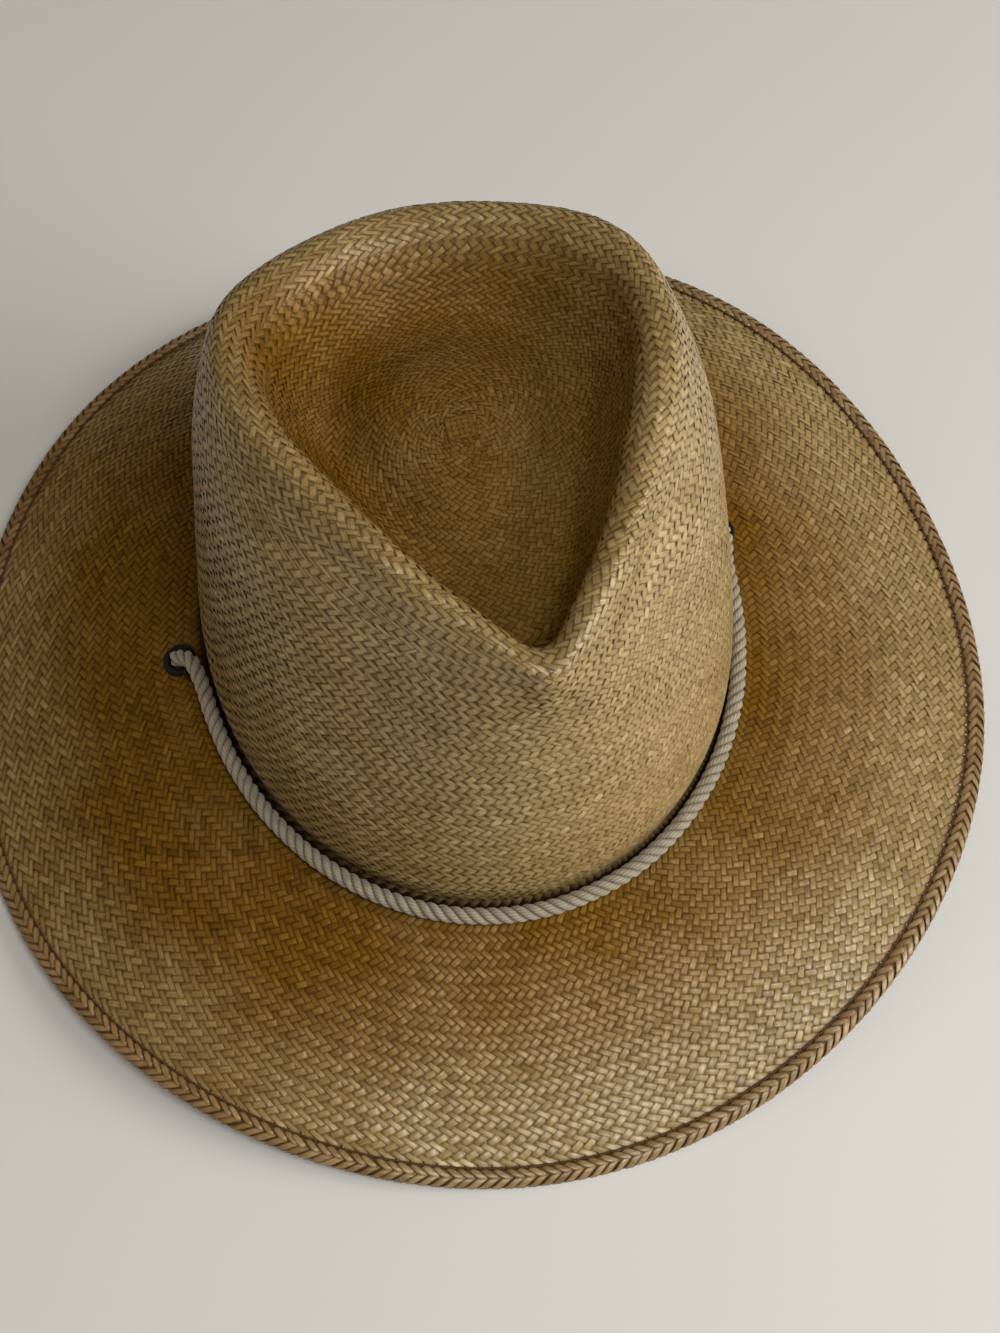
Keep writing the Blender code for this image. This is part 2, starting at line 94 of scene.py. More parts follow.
WALL_ROWS = (
    (0.78, 1.0, 0.0, 1.0, 14.0),
    (0.55, 0.85, 0.4, 0.8, 22.0),
    (0.30, 0.2, 0.9, 0.2, 28.0),
    (0.12, 0.0, 1.0, 0.0, 30.0),
)
TIP_Y = 0.0070
BUTTON_Z = 0.1310
TRENCH_Z = 0.1255
DOME_SHARE = 0.32
DOME_FALL = 0.0015
TRENCH_SHARE = 0.60
TRENCH_FRONT_SHARE = 0.80
TRENCH_FRONT_SPREAD = 32.0
STRAW = 0.0014
FIT = 0.0003
SEAT = 0.0005
BAND_THICK = 0.0032
SWEATBAND_FOOT = 0.0040
SWEATBAND_HEIGHT = 0.0300
SWEATBAND_THICK = 0.0012
TAB_WIDTH = 0.0140
TAB_MARGIN = 0.0045
TAB_THICK = 0.0008
BAND_THREAD = 0.0006
BAND_THREAD_RISE = 0.0030
ROPE = 0.0054
ROPE_OUT_FRONT = 0.0048
ROPE_OUT_SIDE = 0.0041
ROPE_BEND = ((93.0, 0.0067, 0.0061), (88.2, 0.0044, 0.0050), (81.5, 0.0041, 0.0040))
ROPE_RISE = 0.0012
ROPE_REST = (72, 60, 46, 31, 16)
EYELET_ANGLE = 95.9
EYELET_TURN = 0.7
EYELET_OUT = 0.0088
EYELET_SHIFT = 0.0018
EYELET_FLANGE_THICK = 0.0013
RUN_Y = 0.1130
RUN_SPACING = 0.0090
RUN_HALF = 0.0420
RUN_Z = 0.0059
FLOOR_Z = 0.00285
CHIN_DROP = (0.0007, 0.0042, 0.0085)
CHIN_BEND = (
    (0.0945, 0.0200, 0.00, 0.0100),
    (0.1020, 0.0340, 0.00, 0.0045),
    (0.1120, 0.0540, 0.00, FLOOR_Z),
    (0.1110, 0.0770, 0.40, FLOOR_Z),
    (0.0970, 0.0960, 0.90, FLOOR_Z),
    (0.0800, 0.1070, 1.00, FLOOR_Z + 0.0012),
    (0.0630, RUN_Y - 0.0008, 1.03, RUN_Z - 0.0006),
    (0.0460, RUN_Y, 1.00, RUN_Z),
    (0.0300, RUN_Y, 1.00, RUN_Z),
    (-RUN_HALF, RUN_Y, 1.00, RUN_Z),
)
MIDDLE_Y = (BRIM_FRONT - BRIM_BACK) / 2

# A soft crease that a finger left beside the pinch, and the rows over which wet blocking rounds the crown
CREASE_DEPTH = 0.0032
CREASE_BELOW = 0.0210
CREASE_WIDTH = 0.0078
CREASE_ANGLE = 38.0
CREASE_SPREAD = 17.0
SOFT_ROWS = 6

# The weave: strips a family at each field's start and end, and the tip's rings as inner radius and strips
CROWN_STRIPS = (104, 158)
BRIM_STRIPS = (240, 240)
CROWN_START = 0.0600
TIP_RINGS = ((0.0410, 116), (0.0280, 78), (0.0190, 52), (0.0125, 35), (0.0085, 24), (0.0052, 16))
CROWN_STEEPNESS = 0.61
BRIM_STEEPNESS = 0.74
BRIM_MIDDLE = 0.130
BRIM_FLATTENING = 1.4
WEAVE_PULL = 0.17
PULL_ANGLE = 50.0
STRIP_SHARE = 1.04
ADDED_OVER = 8
SLIVER = 0.05
STRIP_BULGE = 0.00014
WEAVE_HEIGHT = 0.00024
EDGE_TUCK = 0.0014
HEIGHT_SHARE = 0.13
BULGE_SHARE = 0.07

# How strips differ: drift and jitter sideways, width, height, roll, tone, painted shade in the joints,
# sinking at ends
STRIP_DRIFT = 0.04
FLOAT_JITTER = 0.012
WIDTH_DRIFT = 0.04
WIDTH_SPREAD = (-0.04, 0.03)
HEIGHT_SPREAD = 0.10
BRIM_ROLL = 0.10
CROWN_ROLL = 0.035
TONE_SPREAD = 0.06
FLOAT_TONE = 0.08
JOINT_SHADE = 0.3
START_SINK = 0.0006
END_SINK = 0.0005
SLIVER_SINK = 0.0002

# The square start at the tip: strips each way, half their length, their pitch, half width, wave and rise
FIRST_STRIPS = 5
FIRST_REACH = 0.0048
FIRST_PITCH = 0.0017
FIRST_HALF = 0.00078
FIRST_WAVE = 0.00018
FIRST_RISE = 0.0001
FIRST_BULGE = 0.00012

# Browning, and where it fades in metres past the crest or past the fold; painted shade, partly real browning,
# that climbs towards the wearer's right
TIP_BROWN = 0.85
TIP_FADE = (-0.020, 0.008)
BESIDE_ROPE_BROWN = 0.62
BESIDE_ROPE_REACH = 0.046
BRIM_BROWN = 0.30
BRIM_FADE = 0.26
BRIM_FADE_AT = (0.036, 0.072)
SHADE_PAINTED_BRIM = 0.46
SHADE_PAINTED_BRIM_AT = (0.02, 0.12)
SHADE_PAINTED_CROWN = 0.30
SHADE_PAINTED_CROWN_AT = (0.01, 0.07)
# Painted shade in the groove where the crown's foot meets the brim: where it climbs in and where it fades
# out, in metres past the fold
FOLD_SHADE_FROM = (-0.0032, -0.0008)
FOLD_SHADE_TO = (0.0010, 0.0036)

# Each strip goes over two others and under two. Along such a float: crossings, height and painted shade in
# the joint
FLOAT_SPOTS = (-0.38, -0.19, 1.19, 1.38)
FLOAT_LIFT = (0.45, 1.0, 1.0, 0.45)
FLOAT_SHADE = (1.0, 0.0, 0.0, 1.0)

# Fibres counted across a strip at its four corners, from one cut edge to the other
FIBRE_SPOTS = np.array((-3.0, 0.0, 3.0, 0.0))

# The plaited edge: its seam and groove, its section's powers, each leaf's lean, size and wear, and its core
BAND_WIDTH = 0.0062
HEM_LEAVES = 296
HEM_SEAM = -0.0007
HEM_OVERLAP = (0.0006, 0.0008)
HEM_GROOVE = -0.00307
HEM_ACROSS_POWER = 0.6
HEM_RISE_POWER = 0.7
LEAF_LEAN = 0.0060
LEAF_WIDTH = 0.0022
LEAF_THICK = 0.0007
LEAF_JITTER = 0.00022
LEAF_TAPER = 0.28
LEAF_TUCK = 0.0005
INNER_LEAF = 0.9
OUTER_TILT = 0.16
INNER_TILT = 0.12
CORE_REACH = 0.0003
CORE_INSET = 0.00055
CORE_LOWEST = 0.0003
CORE_SIDES = 20
CORE_STEPS = 240

# Thread and stitches, each drawn in a few steps, and the sweatband's steps and ripples
EDGE_THREAD = 0.0005
EDGE_STITCHES = 224
BAND_STITCHES = 136
STITCH_STEPS = 6
SWEATBAND_STEPS = 240
SWEATBAND_RIPPLES = (0.00022, 0.00012)
TAB_BULGE = 0.0003

# The rope's lay, the length in which a strand goes round once, and how it is drawn
ROPE_LAY = 0.0115
ROPE_STEP = 0.0007
STRAND = ROPE / 2 * 0.475
KNOT_STRAND_SIZE = ROPE / 2 * 0.52
STRAND_SIDES = 12
STRAND_YARNS = 6
SEED = 7

# Rows of the surface's own control net, and how finely it is redrawn
SHOULDER_ROW = 6
BREAK_ROW = 12
ROW_STEPS = 40
TURN_STEPS = 960
CROWN_STEPS = 440
BRIM_STEPS = 160
EDGE_ROW = CROWN_STEPS + BRIM_STEPS


def around(phi, front, side, back):
    """A size that is stated at the front, at both sides and at the back."""
    mean = (front + back + 2 * side) / 4
    return mean + (front - back) / 2 * np.cos(phi) + ((front + back) / 2 - side) / 2 * np.cos(2 * phi)


def smooth(points, steps, before=None, after=None):
    """A curve that passes smoothly through the points, each of which may itself be an array."""
    p = [np.asarray(point, float) for point in points]
    p = [2 * p[0] - p[1] if before is None else np.asarray(before, float)] + p
    p.append(2 * p[-1] - p[-2] if after is None else np.asarray(after, float))
    curve = []
    for a, b, c, d in zip(p, p[1:], p[2:], p[3:]):
        for t in np.arange(steps) / steps:
            bend = (2 * a - 5 * b + 4 * c - d) * t**2 + (3 * b - a - 3 * c + d) * t**3
            curve.append(b + ((c - a) * t + bend) / 2)
    curve.append(p[-2])
    return np.array(curve)


def unit(vectors):
    return vectors / np.maximum(np.linalg.norm(vectors, axis=-1, keepdims=True), 1e-12)


def ease(value, low, high):
    """Nought below one value and one above the other, with a smooth climb between them."""
    share = np.clip((value - low) / (high - low), 0, 1)
    return share * share * (3 - 2 * share)


def head_oval(phi):
    return np.stack([HEAD_WIDTH / 2 * np.sin(phi), MIDDLE_Y - HEAD_LENGTH / 2 * np.cos(phi)], -1)


def outward(phi):
    return unit(np.stack([HEAD_LENGTH * np.sin(phi), -HEAD_WIDTH * np.cos(phi)], -1))


def base_z(phi):
    return around(phi, BASE_FRONT_Z, BASE_SIDE_Z, BASE_BACK_Z)


def brim_width(phi):
    return around(phi, BRIM_FRONT, BRIM_SIDE, BRIM_BACK)


def brim_edge_z(phi):
    resting = around(phi, EDGE_FRONT_Z, EDGE_SIDE_Z, EDGE_BACK_Z)
    return resting + EDGE_RIPPLE * (1 - np.cos(4 * phi)) / 2


def brim_point(phi, out):
    """The brim's upper face, this far out from the head oval in plan."""
    phi, out = np.broadcast_arrays(np.asarray(phi, float), np.asarray(out, float))
    drop = (base_z(phi) - brim_edge_z(phi)) * (out / brim_width(phi)) ** BRIM_DROOP
    plan = head_oval(phi) + outward(phi) * out[..., None]
    return np.concatenate([plan, (base_z(phi) - drop)[..., None]], -1)


def brim_slope(phi):
    """How steeply the brim falls at its edge, in radians."""
    return np.arctan(BRIM_DROOP * (base_z(phi) - brim_edge_z(phi)) / brim_width(phi))


def body_edge(phi):
    """How far out the woven body ends, where the edge band begins."""
    return brim_width(phi) - (BAND_WIDTH + FIT) * np.cos(brim_slope(phi))


def turned_from_front(phi):
    return np.abs((phi + np.pi) % (2 * np.pi) - np.pi)


def ridge(phi):
    """The crest of the crown at each angle about the tip, with the lean left out."""
    half = smooth(RIDGE_PLAN, 150, after=(-RIDGE_PLAN[3][0], RIDGE_PLAN[3][1]))
    angle = np.arctan2(half[:, 0], TIP_Y - half[:, 1])
    radius = np.interp(turned_from_front(phi), angle, np.hypot(half[:, 0], half[:, 1] - TIP_Y))
    x = radius * np.sin(phi)
    y = TIP_Y - radius * np.cos(phi)
    k = np.clip((y - RIDGE_PLAN[0][1]) / (RIDGE_PLAN[-1][1] - RIDGE_PLAN[0][1]), 0, 1)
    bow = RIDGE_SIDE_Z - (PINCH_Z + RIDGE_BACK_Z) / 2
    z = PINCH_Z + (RIDGE_BACK_Z - PINCH_Z) * k + bow * 4 * k * (1 - k)
    return np.stack([x, y + MIDDLE_Y, z], -1)


def rounded_ridge(phi, degrees):
    """The crest with its sharp pinch rounded off over this many degrees to each side."""
    reach = np.radians(np.linspace(-degrees, degrees, 9))
    return np.mean([ridge(phi + step) for step in reach], axis=0)


def bell(phi, centre, spread):
    """One at this many degrees to either side of the front, falling off smoothly."""
    return np.exp(-(((np.degrees(turned_from_front(phi)) - centre) / spread) ** 2))


def body_rows(phi):
    """Control rows of the woven body from the button to its edge, each an array over the angles."""
    crest = rounded_ridge(phi, PINCH_ROUND)
    tip = np.array([0.0, TIP_Y + MIDDLE_Y])
    from_tip = crest[:, :2] - tip

    def tip_row(share, z):
        plan = tip + from_tip * np.broadcast_to(share, len(phi))[:, None]
        return np.column_stack([plan, np.broadcast_to(z, len(phi))])

    trench = TRENCH_SHARE + (TRENCH_FRONT_SHARE - TRENCH_SHARE) * bell(phi, 0, TRENCH_FRONT_SPREAD)
    lip = 1 - LIP_IN / np.linalg.norm(from_tip, axis=1)
    rows = [tip_row(0.0, BUTTON_Z), tip_row(DOME_SHARE, BUTTON_Z - DOME_FALL), tip_row(trench, TRENCH_Z)]
    rows.append(tip_row((trench + 1) / 2, (TRENCH_Z + crest[:, 2]) / 2))
    rows.append(tip_row(lip, crest[:, 2] - LIP_DROP))
    rows.append(crest)
    base = head_oval(phi)
    foot = base_z(phi)
    out = unit(base - crest[:, :2])
    rows.append(np.column_stack([crest[:, :2] + out * SHOULDER_OUT, crest[:, 2] - SHOULDER_DROP]))
    dent = DENT_DEPTH * bell(phi, DENT_ANGLE, DENT_SPREAD)
    full = around(phi - np.pi / 2, FULL_LEFT, FULL_MIDDLE, FULL_RIGHT)
    full_high = FULL_HIGH * np.sin(phi) ** 2
    for t, dented, low, high, degrees in WALL_ROWS:
        top = rounded_ridge(phi, degrees)[:, :2] + out * WALL_TOP_OUT
        swell = full * low + full_high * high - dent * dented
        plan = base + (top - base) * t**WALL_CURVE + outward(phi) * swell[:, None]
        rows.append(np.column_stack([plan, foot + (crest[:, 2] - foot) * t]))
    rows.append(np.column_stack([base, foot + BREAK_RISE]))
    reach = body_edge(phi)
    for out in (BREAK_WIDTH + 0 * reach, 0.22 * reach, 0.5 * reach, 0.76 * reach, reach + EDGE_TUCK):
        rows.append(brim_point(phi, out))
    return rows


def leaned(points):
    """The crown leans to the wearer's left, more the higher it is and the nearer the front."""
    share = np.clip((points[..., 2] - BASE_SIDE_Z) / (RIDGE_SIDE_Z - BASE_SIDE_Z), 0, 1)
    points[..., 0] += (CROWN_LEAN + CROWN_TWIST * (points[..., 1] - MIDDLE_Y)) * share
    return points


def lengths(points):
    """The length along a path to each of its points."""
    return np.concatenate([[0], np.cumsum(np.linalg.norm(np.diff(points, axis=0), axis=1))])


def evenly_spaced(curves, steps):
    """Each curve down the first axis, redrawn with its points an equal length apart."""
    gaps = np.linalg.norm(np.diff(curves, axis=0), axis=2)
    run = np.concatenate([np.zeros((1, curves.shape[1])), np.cumsum(gaps, 0)])
    even = np.empty((steps + 1, curves.shape[1], 3))
    for i in range(curves.shape[1]):
        marks = np.linspace(0, run[-1, i], steps + 1)
        for axis in range(3):
            even[:, i, axis] = np.interp(marks, run[:, i], curves[:, i, axis])
    return even


class WovenSheet:
    """The middle of the woven sheet, read at any turn about the crown and any row from button to edge."""

    def __init__(self):
        phi = np.arange(TURN_STEPS) * 2 * np.pi / TURN_STEPS
        upper = leaned(smooth(body_rows(phi), ROW_STEPS))
        fold = BREAK_ROW * ROW_STEPS
        crown = evenly_spaced(upper[: fold + 1], CROWN_STEPS)
        # Wet blocking rounds every edge of the crown a little
        soft = [crown[i : len(crown) - 2 * SOFT_ROWS + i] for i in range(2 * SOFT_ROWS + 1)]
        crown[SOFT_ROWS:-SOFT_ROWS] = np.mean(soft, axis=0)
        brim = evenly_spaced(upper[fold:], BRIM_STEPS)
        upper = np.concatenate([crown, brim[1:]])
        rings = np.concatenate([upper, upper[:, :1]], 1).transpose(1, 0, 2)
        upper = evenly_spaced(rings, TURN_STEPS)[:-1].transpose(1, 0, 2)
        upper = upper - self.facing(upper) * self.crease(upper)
        normal = self.facing(upper)
        self.points = upper - normal * STRAW / 2
        self.normals = normal
        self.rows = np.arange(len(upper))
        turn = np.linalg.norm(np.roll(self.points, -1, 1) - self.points, axis=2)
        self.radius = np.maximum.accumulate(turn.sum(1) / (2 * np.pi))
        step = np.linalg.norm(np.diff(self.points, axis=0), axis=2)
        middle = (self.radius[1:] + self.radius[:-1]) / 2
        # On the brim the rows keep their height, so the strips lie flatter the further out they are
        flatter = BRIM_STEEPNESS * (BRIM_MIDDLE / middle) ** BRIM_FLATTENING
        steepness = np.where(self.rows[1:] <= CROWN_STEPS, CROWN_STEEPNESS, flatter)
        self.advance = np.concatenate([[0], np.cumsum(step.mean(1) / middle / steepness)])
        self.stains_and_shades = self.browning_and_shade(step)
        # Painted shade in the groove where the crown's foot meets the brim
        row_step = np.where(self.rows < CROWN_STEPS, step[:1].mean(), step[-1:].mean())
        past_break = row_step * (self.rows - CROWN_STEPS)
        painted_shade = ease(past_break, *FOLD_SHADE_FROM) * (1 - ease(past_break, *FOLD_SHADE_TO))
        self.painted_shades = np.broadcast_to(painted_shade[:, None, None], (len(self.rows), TURN_STEPS, 1))

    def facing(self, upper):
        """Which way the sheet's upper face looks."""
        across = np.gradient(upper, axis=0)
        along = (np.roll(upper, -1, 1) - np.roll(upper, 1, 1)) / 2
        normal = unit(np.cross(across, along))
        normal[0] = (0, 0, 1)
        return normal

    def crease(self, upper):
        """The depth of the soft crease under the crest, beside the pinch on the wearer's left."""
        crest = upper[:CROWN_STEPS, :, 2].argmax(0)
        step = np.linalg.norm(np.diff(upper[:2], axis=0), axis=2)
        below = (np.arange(len(upper))[:, None] - crest) * step
        turn = np.arange(TURN_STEPS) * 360 / TURN_STEPS
        down = (below - CREASE_BELOW) / CREASE_WIDTH
        round_crown = (turn - CREASE_ANGLE) / CREASE_SPREAD
        return CREASE_DEPTH * np.exp(-(down**2) - round_crown**2)[..., None]

    def browning_and_shade(self, step):
        """How far handling has browned the straw: most in the tip and on the brim beside the rope. Painted
        shade, partly real browning, is added towards the wearer's right.
        """
        crest = self.points[:CROWN_STEPS, :, 2].argmax(0)
        past_crest = (self.rows[:, None] - crest) * step[0]
        tip = TIP_BROWN * (1 - ease(past_crest, *TIP_FADE))
        past_break = (self.rows[:, None] - CROWN_STEPS) * step[-1]
        faded = BRIM_BROWN - BRIM_FADE * ease(past_break, *BRIM_FADE_AT)
        beside_rope = BESIDE_ROPE_BROWN * np.exp(-((past_break / BESIDE_ROPE_REACH) ** 2))
        brim = np.where(past_break > 0, faded + beside_rope, 0)
        # Painted shade, partly real browning: the straw darkens and browns towards the wearer's right, away
        # from the lamps
        to_right = -self.points[..., 0]
        side_shade = SHADE_PAINTED_BRIM * ease(to_right, *SHADE_PAINTED_BRIM_AT) * (past_break > 0)
        side_shade += SHADE_PAINTED_CROWN * ease(to_right, *SHADE_PAINTED_CROWN_AT) * (past_break <= 0)
        return np.clip(tip + brim + side_shade, 0, 1)[..., None]

    def read(self, table, phi, row):
        i = np.clip(row, 0, len(self.rows) - 1.0001)
        j = (phi / (2 * np.pi) * TURN_STEPS) % TURN_STEPS
        i0 = i.astype(int)
        j0 = j.astype(int) % TURN_STEPS
        j1 = (j0 + 1) % TURN_STEPS
        fi = (i - i0)[..., None]
        fj = (j - np.floor(j))[..., None]
        near = table[i0, j0] * (1 - fj) + table[i0, j1] * fj
        far = table[i0 + 1, j0] * (1 - fj) + table[i0 + 1, j1] * fj
        return near * (1 - fi) + far * fi

    def row_at(self, radius):
        return float(np.interp(radius, self.radius, self.rows))


SHEET = WovenSheet()
RANDOM = np.random.default_rng(SEED)


def add_piece(name, mesh, finish, slot, *nodes):
    """Links a finished piece, lets it ride on the hat and hides the model nodes it stands for."""
    piece = bpy.data.objects.new(name, mesh)
    SCENE.collection.objects.link(piece)
    mesh.materials.append(finish)
    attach(piece, "hat")
    if nodes:
        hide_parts(*nodes)
    return piece


def mesh_of(name, points, faces, layout, **values):
    """A mesh from points and four-cornered faces, with its flat layout and a named value at each point."""
    mesh = bpy.data.meshes.new(name)
    mesh.vertices.add(len(points))
    mesh.vertices.foreach_set("co", np.asarray(points, np.float32).ravel())
    mesh.loops.add(faces.size)
    mesh.loops.foreach_set("vertex_index", faces.astype(np.int32).ravel())
    mesh.polygons.add(len(faces))
    mesh.polygons.foreach_set("loop_start", np.arange(0, faces.size, 4, dtype=np.int32))
    mesh.update(calc_edges=True)
    for label, numbers in values.items():
        held = mesh.attributes.new(label, "FLOAT", "POINT").data
        held.foreach_set("value", np.asarray(numbers, np.float32).ravel())
    mesh.uv_layers.new(name="OFBake").data.foreach_set("uv", np.asarray(layout, np.float32).ravel())
    mesh.shade_smooth()
    mesh.validate()
    return mesh


def boxes(left, low, right, high):
    """The four corners of each box on a flat layout."""
    spots = np.broadcast_arrays(left, low, right, low, right, high, left, high)
    return np.stack(spots, -1).reshape(-1, 4, 2)


def ribbon_mesh(name, middles, across, up, tones, stains_and_shades, painted_shades):
    """Strips with a lens-shaped section. Each array is over the strips, then along each strip."""
    strips, length = middles.shape[:2]
    points = np.stack([middles - across, middles + up, middles + across, middles - up], 2)
    points[..., 2] = np.maximum(points[..., 2], 0.0)
    index = np.arange(strips * length * 4).reshape(strips, length, 4)
    beside = np.roll(index, -1, 2)
    sides = np.stack([index[:, :-1], index[:, 1:], beside[:, 1:], beside[:, :-1]], -1)
    ends = np.stack([index[:, 0], index[:, -1, ::-1]], 1)
    faces = np.concatenate([sides.reshape(-1, 4), ends.reshape(-1, 4)])
    # On the flat layout each strip has four bands for its sides and a narrow one for its ends
    s, t, band = np.ogrid[:strips, : length - 1, :4]
    low, high = [(s + (band + edge) / 4.6) / strips for edge in (0.06, 0.94)]
    side_layout = boxes((t + 0.3) / length, low, (t + 1.3) / length, high)
    s, e = np.ogrid[:strips, :2]
    low, high = [(s + edge / 4.6) / strips for edge in (4.1, 4.5)]
    layout = np.concatenate([side_layout, boxes(e / 2 + 0.1, low, e / 2 + 0.2, high)])
    values = {"tone": tones, "stain_and_shade": stains_and_shades, "painted_shade": painted_shades}
    values = {label: np.repeat(numbers.ravel(), 4) for label, numbers in values.items()}
    # Fibres run along a strip, so their number changes only across it and from strip to strip
    values["fibre"] = np.broadcast_to(np.arange(strips)[:, None, None] * 7.3 + FIBRE_SPOTS, index.shape)
    # How near each corner lies to a strip's cut edge, for the painted shade at the edges
    values["rim"] = np.broadcast_to(np.abs(FIBRE_SPOTS) / FIBRE_SPOTS.max(), index.shape)
    mesh = mesh_of(name, points.reshape(-1, 3), faces, layout, **values)
    # The two long edges of a strip are cut edges, so the light breaks there
    ends = np.empty(len(mesh.edges) * 2, np.int32)
    mesh.edges.foreach_get("vertices", ends)
    corner = ends.reshape(-1, 2) % 4
    cut = (corner[:, 0] == corner[:, 1]) & (corner[:, 0] % 2 == 0)
    mesh.attributes.new("sharp_edge", "BOOLEAN", "EDGE").data.foreach_set("value", cut)
    return mesh


def wander(count, length, scale):
    """A slow random drift along each strip, between -1 and 1."""
    knots = RANDOM.uniform(-1, 1, (count, max(2, int(length / scale) + 2)))
    spots = np.linspace(0, knots.shape[1] - 1.001, length)
    low = spots.astype(int)
    part = ease(spots - low, 0, 1)
    return knots[:, low] * (1 - part) + knots[:, low + 1] * part


def strip_family(counts, start_row, end_row, lean, sinks):
    """Middles, half widths, rises, tones, browning with painted side shade, and painted joint shade of one
    family of strips between two rows.
    """
    first, count = counts
    marks = np.linspace(start_row, end_row, 600)
    advance = np.interp(marks, SHEET.rows, SHEET.advance)
    girth = np.interp(marks, SHEET.rows, SHEET.radius)
    present = first + (count - first) * (girth - girth[0]) / (girth[-1] - girth[0])
    crossed = np.cumsum((present[1:] + present[:-1]) / 2 * np.diff(advance) / math.pi)
    crossed = np.concatenate([[0], crossed])
    last = crossed[-1]
    floats = np.arange(int(last / 2) + 2)
    spots = np.add.outer(2 * floats, FLOAT_SPOTS).ravel()
    number = np.repeat(floats, len(FLOAT_SPOTS))
    inside = (spots >= 0) & (spots <= last)
    lift = np.tile(FLOAT_LIFT, len(floats))[inside]
    painted_shade = np.tile(FLOAT_SHADE, len(floats))[inside]
    spots, number = spots[inside], number[inside]
    over = np.where(number % 2 == 0, 1.0, -1.0) * lift * lean
    row = np.interp(spots, crossed, marks)
    run = (np.interp(spots, crossed, advance) - advance[0])[None, :]
    # As a field widens, strips are added: each starts as a sliver under its neighbours and spreads
    born = np.full(count, -count)
    born[RANDOM.permutation(count)[: count - first]] = np.arange(first, count)
    grown = ease(np.interp(spots, crossed, present)[None, :], born[:, None], born[:, None] + ADDED_OVER)
    share = SLIVER + (1 - SLIVER) * grown
    share = share / share.sum(0)
    by_float = RANDOM.standard_normal((4, count, len(floats)))[:, :, number]
    loose = STRIP_DRIFT * wander(count, len(spots), 18) + FLOAT_JITTER * by_float[0]
    phi = (np.cumsum(share, 0) + (loose - 0.5) * share) * 2 * np.pi + lean * run
    # The strips were pulled harder one way on one side of the hat, so there they cross on the slant
    phi = phi + WEAVE_PULL * np.cos(phi + math.radians(PULL_ANGLE)) * run
    rows = np.broadcast_to(row, phi.shape)
    middle = SHEET.read(SHEET.points, phi, rows)
    normal = unit(SHEET.read(SHEET.normals, phi, rows))
    along = unit(np.gradient(middle, axis=1))
    step = np.pi * share
    beside = SHEET.read(SHEET.points, phi + step, rows) - SHEET.read(SHEET.points, phi - step, rows)
    side = unit(np.cross(normal, along))
    pitch = np.abs(np.einsum("ijk,ijk->ij", beside, side))
    width = STRIP_SHARE + WIDTH_DRIFT * wander(count, len(spots), 26)
    width = width + RANDOM.uniform(*WIDTH_SPREAD, (count, 1))
    height = np.minimum(WEAVE_HEIGHT, HEIGHT_SHARE * pitch) * (1 + HEIGHT_SPREAD * by_float[1])
    sunk = END_SINK * sinks[1] * ease(spots, last - 1.5, last)
    sunk = sunk + START_SINK * sinks[0] * (1 - ease(spots, 0.5, 3.0))
    sunk = sunk + SLIVER_SINK * (1 - ease(grown, 0.0, 0.5))
    middle = middle + normal * (over * height - sunk)[..., None]
    roll = np.where(row > CROWN_STEPS, BRIM_ROLL, CROWN_ROLL) * by_float[2]
    tilted = side + normal * roll[..., None]
    bulge = np.minimum(STRIP_BULGE, BULGE_SHARE * pitch)
    tone = 0.5 + TONE_SPREAD * RANDOM.standard_normal((count, 1))
    tone = tone + TONE_SPREAD * wander(count, len(spots), 24)
    tone = np.clip(tone + FLOAT_TONE * by_float[3], 0, 1)
    stain_and_shade = SHEET.read(SHEET.stains_and_shades, phi, rows)[..., 0]
    # Painted shade where a float dives under its neighbours, and in the groove at the fold
    painted_shade = np.maximum(JOINT_SHADE * painted_shade, SHEET.read(SHEET.painted_shades, phi, rows)[..., 0])
    return middle, tilted * (width * pitch / 2)[..., None], normal * bulge[..., None], tone, stain_and_shade, painted_shade


def woven_field(name, counts, start_row, end_row, parts, sinks, finish):
    """Two crossing families of strips, in as many pieces each as keep the meshes small."""
    pieces = []
    for lean, word in ((1, "right"), (-1, "left")):
        family = strip_family(counts, start_row, end_row, lean, sinks)
        for part in range(parts):
            chosen = [values[part::parts] for values in family]
            label = f"{name}_{word}_strips" + (f"_{part + 1}" if parts > 1 else "")
            pieces.append(add_piece(label, ribbon_mesh(label, *chosen), finish, "woven_straw"))
    return pieces


def first_strips(finish):
    """The square start of the weave at the tip's middle, where the first strips cross."""
    spots = np.linspace(-1, 1, 13)
    centre = SHEET.points[0, 0]
    for axis, word in ((0, "right"), (1, "left")):
        middles = np.zeros((FIRST_STRIPS, len(spots), 3))
        for number in range(FIRST_STRIPS):
            ripple = np.cos((spots * FIRST_STRIPS / 2 + number + axis) * np.pi)
            middles[number, :, axis] = spots * FIRST_REACH
            middles[number, :, 1 - axis] = (number - FIRST_STRIPS // 2) * FIRST_PITCH
            dipped = 0.0004 * ease(np.abs(spots), 0.6, 1.0)
            middles[number, :, 2] = ripple * FIRST_WAVE + FIRST_RISE - dipped
        side = np.zeros_like(middles)
        side[..., 1 - axis] = -FIRST_HALF if axis else FIRST_HALF
        up = np.zeros_like(middles)
        up[..., 2] = FIRST_BULGE
        tone = np.broadcast_to(RANDOM.uniform(0.40, 0.60, (FIRST_STRIPS, 1)), middles.shape[:2])
        label = f"tip_start_{word}_strips"
        # Painted shade where the first strips dive at their ends
        painted_shade = np.broadcast_to(0.5 * ease(np.abs(spots), 0.55, 1.0), tone.shape)
        mesh = ribbon_mesh(label, middles + centre, side, up, tone, np.full(tone.shape, 0.9), painted_shade)
        add_piece(label, mesh, finish, "woven_straw")


